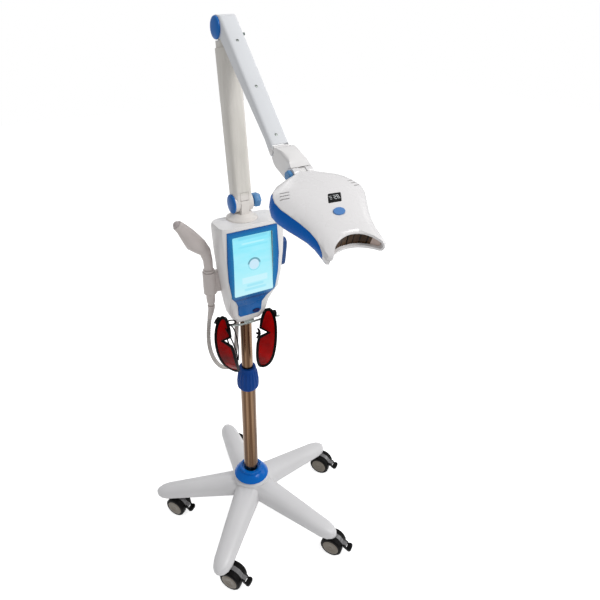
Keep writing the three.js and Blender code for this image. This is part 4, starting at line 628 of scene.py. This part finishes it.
def smooth_normals(obj):
    """Normals averaged over the faces at a point that meet within the crease angle."""
    mesh = obj.data
    places = np.empty(len(mesh.vertices) * 3)
    mesh.vertices.foreach_get("co", places)
    places = places.reshape(-1, 3)
    cells = np.round(places * CELLS_PER_METRE).astype(np.int64)
    _, group = np.unique(cells, axis=0, return_inverse=True)
    group = group.reshape(-1)
    loops = np.empty(len(mesh.loops), np.int64)
    mesh.loops.foreach_get("vertex_index", loops)
    faces = len(mesh.polygons)
    normals = np.empty(faces * 3)
    mesh.polygons.foreach_get("normal", normals)
    normals = normals.reshape(-1, 3)
    starts = np.empty(faces, np.int64)
    totals = np.empty(faces, np.int64)
    mesh.polygons.foreach_get("loop_start", starts)
    mesh.polygons.foreach_get("loop_total", totals)
    face_of = np.repeat(np.arange(faces), totals)
    corner = places[loops]
    angle = np.zeros(len(loops))
    for start, total in zip(starts, totals):
        ring = corner[start:start + total]
        one = np.roll(ring, 1, 0) - ring
        two = np.roll(ring, -1, 0) - ring
        length = np.linalg.norm(one, axis=1) * np.linalg.norm(two, axis=1) + TINY_AREA
        angle[start:start + total] = np.arccos(np.clip((one * two).sum(1) / length, -1, 1))
    where = group[loops]
    order = np.argsort(where, kind="stable")
    borders = np.flatnonzero(np.diff(where[order])) + 1
    result = np.empty((len(loops), 3))
    least = math.cos(math.radians(CREASE))
    for members in np.split(order, borders):
        own = normals[face_of[members]]
        near = (own @ own.T) >= least
        total = near @ (own * angle[members][:, None])
        size = np.linalg.norm(total, axis=1, keepdims=True)
        result[members] = np.where(size > TINY_LENGTH, total / np.maximum(size, TINY_LENGTH), own)
    mesh.polygons.foreach_set("use_smooth", np.ones(faces, bool))
    mesh.normals_split_custom_set(result.tolist())


for name, obj in nodes.items():
    obj.data.materials.clear()
    obj.data.materials.append(look_of[name])
    smooth_normals(obj)
cable.data.materials.append(looks["cable_jacket"])
smooth_normals(cable)


# Small pieces that ride on the solids
def piece(name, bm, look, body, smooth=True):
    """A made mesh as a piece with its look, on its body."""
    obj = mesh_object(name, bm)
    obj.data.materials.append(looks[look])
    if smooth:
        smooth_normals(obj)
    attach(obj, body)


def revolve(profile, matrix, segments=48):
    """A profile of (radius, height) in millimetres, turned about Z and then placed."""
    bm = bmesh.new()
    turns = [2 * math.pi * k / segments for k in range(segments)]
    rings = []
    for radius, height in profile:
        r, z = radius * MM, height * MM
        places = [(r * math.cos(a), r * math.sin(a), z) for a in turns] if radius else [(0, 0, z)]
        rings.append([bm.verts.new(matrix @ Vector(place)) for place in places])
    for one, two in zip(rings, rings[1:]):
        for k in range(segments):
            n = (k + 1) % segments
            if len(one) == 1:
                bm.faces.new((one[0], two[k], two[n]))
            elif len(two) == 1:
                bm.faces.new((one[n], one[k], two[0]))
            else:
                bm.faces.new((one[k], two[k], two[n], one[n]))
    bmesh.ops.recalc_face_normals(bm, faces=bm.faces)
    return bm


def facing(origin, direction, upright=(0, 0, 1)):
    """A frame whose Z points along a direction."""
    z = Vector(direction).normalized()
    x = Vector(upright).cross(z).normalized()
    turn = Matrix((x, z.cross(x), z)).transposed().to_4x4()
    return Matrix.Translation(origin) @ turn


# Castor hub covers: a beige disc in a rim on the outside of each wheel, by (radius, height)
HUB_REACH = 22.1
HUB_PROFILE = [
    (0, 0.9), (4.2, 0.9), (5.0, 0.5), (6.0, 0.5), (6.8, 0.9),
    (19.0, 0.9), (20.6, 0.6), (21.6, -0.3), (21.6, -1.2), (0, -1.2),
]


def add_hub_covers(i):
    low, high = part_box(f"castor_{i}_wheels")
    axle = Vector(joints[f"castor_{i}_roll"]["axis"])
    for letter, out in (("a", -axle), ("b", axle)):
        centre = (low + high) / 2 + out * HUB_REACH * MM
        cover = revolve(HUB_PROFILE, facing(centre, out))
        piece(f"hub_cover_{i}_{letter}", cover, "hub_beige", f"castor_{i}_pair")


for i in CASTORS:
    add_hub_covers(i)

# Strain reliefs of the cable: soft ribbed sleeves that narrow towards the cable
RELIEF_STEP = 0.8
RELIEF_END_RADIUS = 5.25
RELIEF_RIB_PITCH = 4
RELIEF_GROOVE_WIDTH = 2.4
RELIEF_GROOVE_DEPTH = 0.55
RELIEF_PLAIN_SHARE = 0.14


def relief_radius(reach, length, wide):
    """Radius of a cone that ends just over the cable, with grooves past its plain start."""
    share = reach / length
    in_groove = reach % (RELIEF_RIB_PITCH * MM) < RELIEF_GROOVE_WIDTH * MM
    groove = RELIEF_GROOVE_DEPTH * MM if in_groove and share >= RELIEF_PLAIN_SHARE else 0.0
    return wide + (RELIEF_END_RADIUS * MM - wide) * share - groove * (1 - share)


def strain_relief(name, line, length, wide, body):
    """A sleeve from the start of the line, of a length and a first radius in millimetres."""
    length, wide = length * MM, wide * MM
    reach = 0.0
    places = [line[0]]
    radii = [relief_radius(0.0, length, wide)]
    fine = fine_line(line, RELIEF_STEP * MM)
    for one, two in zip(fine, fine[1:]):
        reach += (two - one).length
        if reach > length:
            break
        places.append(two)
        radii.append(relief_radius(reach, length, wide))
    piece(name, tube(places, radii, segments=20), "handpiece_grey", body)


strain_relief("handpiece_relief", cable_line, length=34, wide=8.6, body="handpiece")
strain_relief("gland_relief", cable_line[::-1], length=30, wide=8.2, body="column")

# Screws along the top of the forearm: how far from the elbow pin, how far over it and to the side
FOREARM_PITCH = math.radians(44.0)
SCREW_REACHES = (52, 150, 249)
SCREW_LIFT = 24.0
SCREW_SIDE = -1.0
SCREW_PROFILE = [(0, 0.55), (2.0, 0.55), (2.7, 0.25), (2.9, 0.0), (2.9, -0.6), (0, -0.6)]


def add_forearm_screws():
    elbow = Vector(joints["elbow_tilt"]["pos_m"])
    ahead = Vector((0, -math.cos(FOREARM_PITCH), -math.sin(FOREARM_PITCH)))
    above = Vector((0, -math.sin(FOREARM_PITCH), math.cos(FOREARM_PITCH)))
    across = Vector((1, 0, 0))
    for k, reach in enumerate(SCREW_REACHES, 1):
        centre = elbow + ahead * reach * MM + above * SCREW_LIFT * MM + across * SCREW_SIDE * MM
        screw = revolve(SCREW_PROFILE, facing(centre, above, across), segments=24)
        piece(f"forearm_screw_{k}", screw, "zinc_plate", "upper_link")


add_forearm_screws()

# Filler between the tongue of the turret and the end of the slot in the arm, both arcs about the foot pin
FILLER_HALF_WIDTH = 8.9
TONGUE_RADIUS = 20.7
TONGUE_ANGLES = range(162, 17, -8)
SLOT_END_RADIUS = 29.6
SLOT_END_ANGLES = range(49, 132, 8)


def arc(radius, angles):
    """Points of an arc at angles in degrees."""
    return [(radius * math.cos(math.radians(a)), radius * math.sin(math.radians(a))) for a in angles]


def slot_filler():
    """A slab between the arc of the tongue and the arc of the slot, across the arm."""
    foot = Vector(joints["lower_arm_tilt"]["pos_m"])
    up_arm = (Vector(joints["elbow_tilt"]["pos_m"]) - foot).normalized()
    back_arm = Vector((0, up_arm.z, -up_arm.y))
    outline = arc(TONGUE_RADIUS, TONGUE_ANGLES) + arc(SLOT_END_RADIUS, SLOT_END_ANGLES)
    bm = bmesh.new()
    rings = []
    for x in (-FILLER_HALF_WIDTH, FILLER_HALF_WIDTH):
        middle = foot + Vector((x * MM, 0, 0))
        rings.append([bm.verts.new(middle + back_arm * y * MM + up_arm * z * MM) for y, z in outline])
    skin(bm, rings)
    bmesh.ops.recalc_face_normals(bm, faces=bm.faces)
    return bm


piece("arm_slot_filler", slot_filler(), "arm_paint", "lower_link")

# Inner walls at both ends of the light mouth: a skin over the ends of the window, in a darker pinkish
# white that is painted shade
CHEEK_INNER_FACE = 36
CHEEK_SKIN = 0.4


def mouth_cheek(side):
    """What lies past the inner face of the wall, a little thicker all round."""
    bm = bmesh.new()
    bm.from_mesh(nodes["light_window"].data)
    bmesh.ops.bisect_plane(bm, geom=bm.verts[:] + bm.edges[:] + bm.faces[:], clear_outer=True,
                           plane_co=here(side * CHEEK_INNER_FACE, 0, 0), plane_no=(-side, 0, 0))
    bmesh.ops.holes_fill(bm, edges=bm.edges, sides=0)
    bm.normal_update()
    for vertex, normal in [(v, v.normal.copy()) for v in bm.verts]:
        vertex.co += normal * CHEEK_SKIN * MM
    return bm


for side, label in ((-1, "left"), (1, "right")):
    piece(f"mouth_cheek_{label}", mouth_cheek(side), "mouth_white_painted_shade", "head")

# Digits and bars on the head display, in millimetres from its middle
DIGITS = "28"
STROKES = {"2": "abged", "8": "abcdefg"}
DIGIT_WIDTH = 4.2
DIGIT_HEIGHT = 8.0
DIGIT_LEFT = -1.6
DIGIT_FOOT = -3.4
DIGIT_PITCH = 5.6
STROKE_WIDTH = 0.8
GAP_AT_MIDDLE = 0.5
GAP_AT_END = 0.9
BARS = 3
BAR_LEFT = -9.2
BAR_LENGTH = 5.4
BAR_SHORTER = 1.1
BAR_FOOT = 3.2
BAR_HEIGHT = 0.7
BAR_PITCH = 3.0

# How far the digits rise from the glass, and from where above it their corners are dropped
SLAB_BOTTOM = 0.03
SLAB_TOP = 0.2
DROP_HEIGHT = 20
FACING_UP = 0.7


def strokes(left):
    """The seven strokes of a digit: the left, right, foot and top of each."""
    right = left + DIGIT_WIDTH
    foot = DIGIT_FOOT
    top = foot + DIGIT_HEIGHT
    middle = foot + DIGIT_HEIGHT / 2
    upper = (middle + GAP_AT_MIDDLE, top - GAP_AT_END)
    lower = (foot + GAP_AT_END, middle - GAP_AT_MIDDLE)
    return {
        "a": (left, right, top - STROKE_WIDTH, top),
        "b": (right - STROKE_WIDTH, right, *upper),
        "c": (right - STROKE_WIDTH, right, *lower),
        "d": (left, right, foot, foot + STROKE_WIDTH),
        "e": (left, left + STROKE_WIDTH, *lower),
        "f": (left, left + STROKE_WIDTH, *upper),
        "g": (left, right, middle - STROKE_WIDTH / 2, middle + STROKE_WIDTH / 2),
    }


def display_marks():
    """Thin slabs laid on the upper face of the display."""
    display = nodes["head_display"].data
    upper = [face for face in display.polygons if face.normal.z > FACING_UP]
    area = sum(face.area for face in upper)
    centre = sum((face.center * face.area for face in upper), Vector()) / area
    top = sum((face.normal * face.area for face in upper), Vector()).normalized()
    along_x = (Vector((1, 0, 0)) - top * top.x).normalized()
    along_y = top.cross(along_x)
    ground = bmesh.new()
    ground.from_mesh(display)
    tree = BVHTree.FromBMesh(ground)
    ground.free()
    bm = bmesh.new()

    def slab(left, right, foot, head):
        hits = []
        for u, v in ((left, foot), (right, foot), (right, head), (left, head)):
            start = centre + along_x * u * MM + along_y * v * MM + top * DROP_HEIGHT * MM
            hits.append(tree.ray_cast(start, -top)[0])
        rings = [[bm.verts.new(hit + top * lift * MM) for hit in hits] for lift in (SLAB_BOTTOM, SLAB_TOP)]
        skin(bm, rings)

    for k, digit in enumerate(DIGITS):
        shapes = strokes(DIGIT_LEFT + k * DIGIT_PITCH)
        for name in STROKES[digit]:
            slab(*shapes[name])
    for row in range(BARS):
        foot = BAR_FOOT - row * BAR_PITCH
        slab(BAR_LEFT, BAR_LEFT + BAR_LENGTH - row * BAR_SHORTER, foot, foot + BAR_HEIGHT)
    bmesh.ops.recalc_face_normals(bm, faces=bm.faces)
    return bm


piece("display_digits", display_marks(), "lit_white", "head", smooth=False)

# Black bands that close the slit between each lens and its frame; their black also stands in for the dark
# shade at the outline of the lens (painted shade)
GASKET_WIDTH = 1.3
FRONT_FACING = -0.3
FLAT_SHARE = 0.55


def gasket_and_edge_shade(lens):
    """The edge of the lens, without its flat faces, made wider outwards."""
    bm = bmesh.new()
    bm.from_mesh(lens.data)
    forward = [face for face in bm.faces if face.normal.y < FRONT_FACING]
    front = sum((face.normal * face.calc_area() for face in forward), Vector()).normalized()
    flat = [face for face in bm.faces if abs(face.normal.dot(front)) > FLAT_SHARE]
    bmesh.ops.delete(bm, geom=flat, context="FACES")
    bmesh.ops.solidify(bm, geom=bm.faces[:], thickness=-GASKET_WIDTH * MM)
    bmesh.ops.recalc_face_normals(bm, faces=bm.faces)
    return bm


for side in ("left", "right"):
    body = f"goggles_{side}"
    made = gasket_and_edge_shade(nodes[f"{body}_lens"])
    piece(f"{body}_gasket", made, "goggle_black", body, smooth=False)

# Elastic straps, their loop and the nose pads of the goggles
STRAP_1 = [(-73, -51, 668), (-66, -53, 650), (-57, -54, 622), (-49.5, -53, 590), (-48, -52, 563)]
STRAP_2 = [
    (-64, -52, 677), (-57, -54, 668), (-51, -54, 650), (-47, -54, 625), (-45, -53, 598), (-46.5, -52, 574),
]
NOSE_PAD_1 = [(4, -54, 646), (7, -56, 638), (6, -56, 628), (1, -54, 620)]
NOSE_PAD_2 = [(-1, -54, 635), (5, -56, 633), (11, -55, 629)]
LOOP_START = (-70, -52, 683)
LOOP_HALF_WIDTH = 11
LOOP_HALF_HEIGHT = 5.5
LOOP_SLOPE = 2.5
LOOP_PLACES = 12
PAD_END_SHARE = 0.45


def loop_place(turn):
    """A place on the loop, which hangs to one side of its start."""
    x, y, z = LOOP_START
    away = 1 - math.cos(turn)
    return (x + LOOP_HALF_WIDTH * away, y, z - LOOP_HALF_HEIGHT * math.sin(turn) - LOOP_SLOPE * away)


def soft_rod(name, body, places, radius, end_share=1.0):
    """A round rod through places, with a share of its radius left at both ends."""
    line = catmull([here(*place) for place in places], steps=6)
    last = len(line) - 1
    bulge = [math.sin(math.pi * k / last) for k in range(last + 1)]
    radii = [radius * MM * (end_share + (1 - end_share) * share) for share in bulge]
    piece(name, tube(line, radii, segments=8), "goggle_black", body)


soft_rod("goggles_strap_1", "goggles_left", STRAP_1, radius=1.6)
soft_rod("goggles_strap_2", "goggles_left", STRAP_2, radius=1.4)
loop = [loop_place(2 * math.pi * k / LOOP_PLACES) for k in range(LOOP_PLACES + 1)]
soft_rod("goggles_loop", "goggles_left", loop, radius=1.6)
soft_rod("goggles_right_pad_1", "goggles_right", NOSE_PAD_1, radius=3.4, end_share=PAD_END_SHARE)
soft_rod("goggles_right_pad_2", "goggles_right", NOSE_PAD_2, radius=3.0, end_share=PAD_END_SHARE)

# Floor, light and world, in metres
FLOOR_REACH = 6.0
FLOOR_GREY = (0.82, 0.82, 0.82, 1)
FLOOR_GLOW = 0.72
WHITE = (1, 1, 1, 1)
SKY = (0.985, 0.99, 1.0, 1)
SKY_STRENGTH = 0.5

# Lamps: place, the point that they face, width and power in watts
LAMPS = {
    "key_light": ((1.3, -1.9, 3.2), (0, 0, 0.7), 1.2, 46),
    "side_light": ((2.6, -0.4, 1.6), (0, 0, 0.8), 1.4, 12),
    "back_light": ((0.4, 2.2, 2.9), (0, 0, 0.7), 1.4, 14),
}


def any_ray(tree, *kinds):
    """One for a ray of any of these kinds, else zero."""
    path = tree.nodes.new("ShaderNodeLightPath")
    found = path.outputs[kinds[0]]
    for kind in kinds[1:]:
        either = tree.nodes.new("ShaderNodeMath")
        either.operation = "MAXIMUM"
        tree.links.new(found, either.inputs[0])
        tree.links.new(path.outputs[kind], either.inputs[1])
        found = either.outputs[0]
    return found


def shader_node(tree, kind, colour, strength=None):
    made = tree.nodes.new(kind)
    made.inputs["Color"].default_value = colour
    if strength is not None:
        made.inputs["Strength"].default_value = strength
    return made.outputs[0]


def joined(tree, kind, *sources):
    """A node that takes the sources in order."""
    made = tree.nodes.new(kind)
    for socket, source in zip(made.inputs, sources):
        tree.links.new(source, socket)
    return made


def add_floor():
    """A white floor that keeps the shadow and glows for the camera, in reflections and through glass."""
    mesh = bpy.data.meshes.new("floor")
    corners = [(x * FLOOR_REACH, y * FLOOR_REACH, 0) for x, y in ((-1, -1), (1, -1), (1, 1), (-1, 1))]
    mesh.from_pydata(corners, [], [(0, 1, 2, 3)])
    floor = add_object("floor", mesh)
    material = bpy.data.materials.new("floor_white")
    material.use_nodes = True
    tree = material.node_tree
    tree.nodes.clear()
    matte = shader_node(tree, "ShaderNodeBsdfDiffuse", FLOOR_GREY)
    glow = shader_node(tree, "ShaderNodeEmission", WHITE, FLOOR_GLOW)
    lit = joined(tree, "ShaderNodeAddShader", matte, glow)
    seen = any_ray(tree, "Is Camera Ray", "Is Glossy Ray", "Is Transmission Ray")
    mixed = joined(tree, "ShaderNodeMixShader", seen, matte, lit.outputs[0])
    joined(tree, "ShaderNodeOutputMaterial", mixed.outputs[0])
    mesh.materials.append(material)


def add_lamp(name, place, target, size, energy):
    data = bpy.data.lights.new(name, "AREA")
    data.shape = "SQUARE"
    data.size = size
    data.energy = energy
    lamp = add_object(name, data)
    lamp.matrix_world = facing(Vector(place), Vector(place) - Vector(target))


def add_world():
    """Soft sky light with a plain white background."""
    world = bpy.data.worlds.new("studio")
    bpy.context.scene.world = world
    world.use_nodes = True
    tree = world.node_tree
    tree.nodes.clear()
    soft = shader_node(tree, "ShaderNodeBackground", SKY, SKY_STRENGTH)
    plain = shader_node(tree, "ShaderNodeBackground", WHITE, 1.0)
    seen = any_ray(tree, "Is Camera Ray", "Is Transmission Ray")
    mixed = joined(tree, "ShaderNodeMixShader", seen, soft, plain)
    joined(tree, "ShaderNodeOutputWorld", mixed.outputs[0])


add_floor()
for name, (place, target, size, energy) in LAMPS.items():
    add_lamp(name, place, target, size, energy)
add_world()
bpy.context.scene.view_settings.view_transform = "Standard"
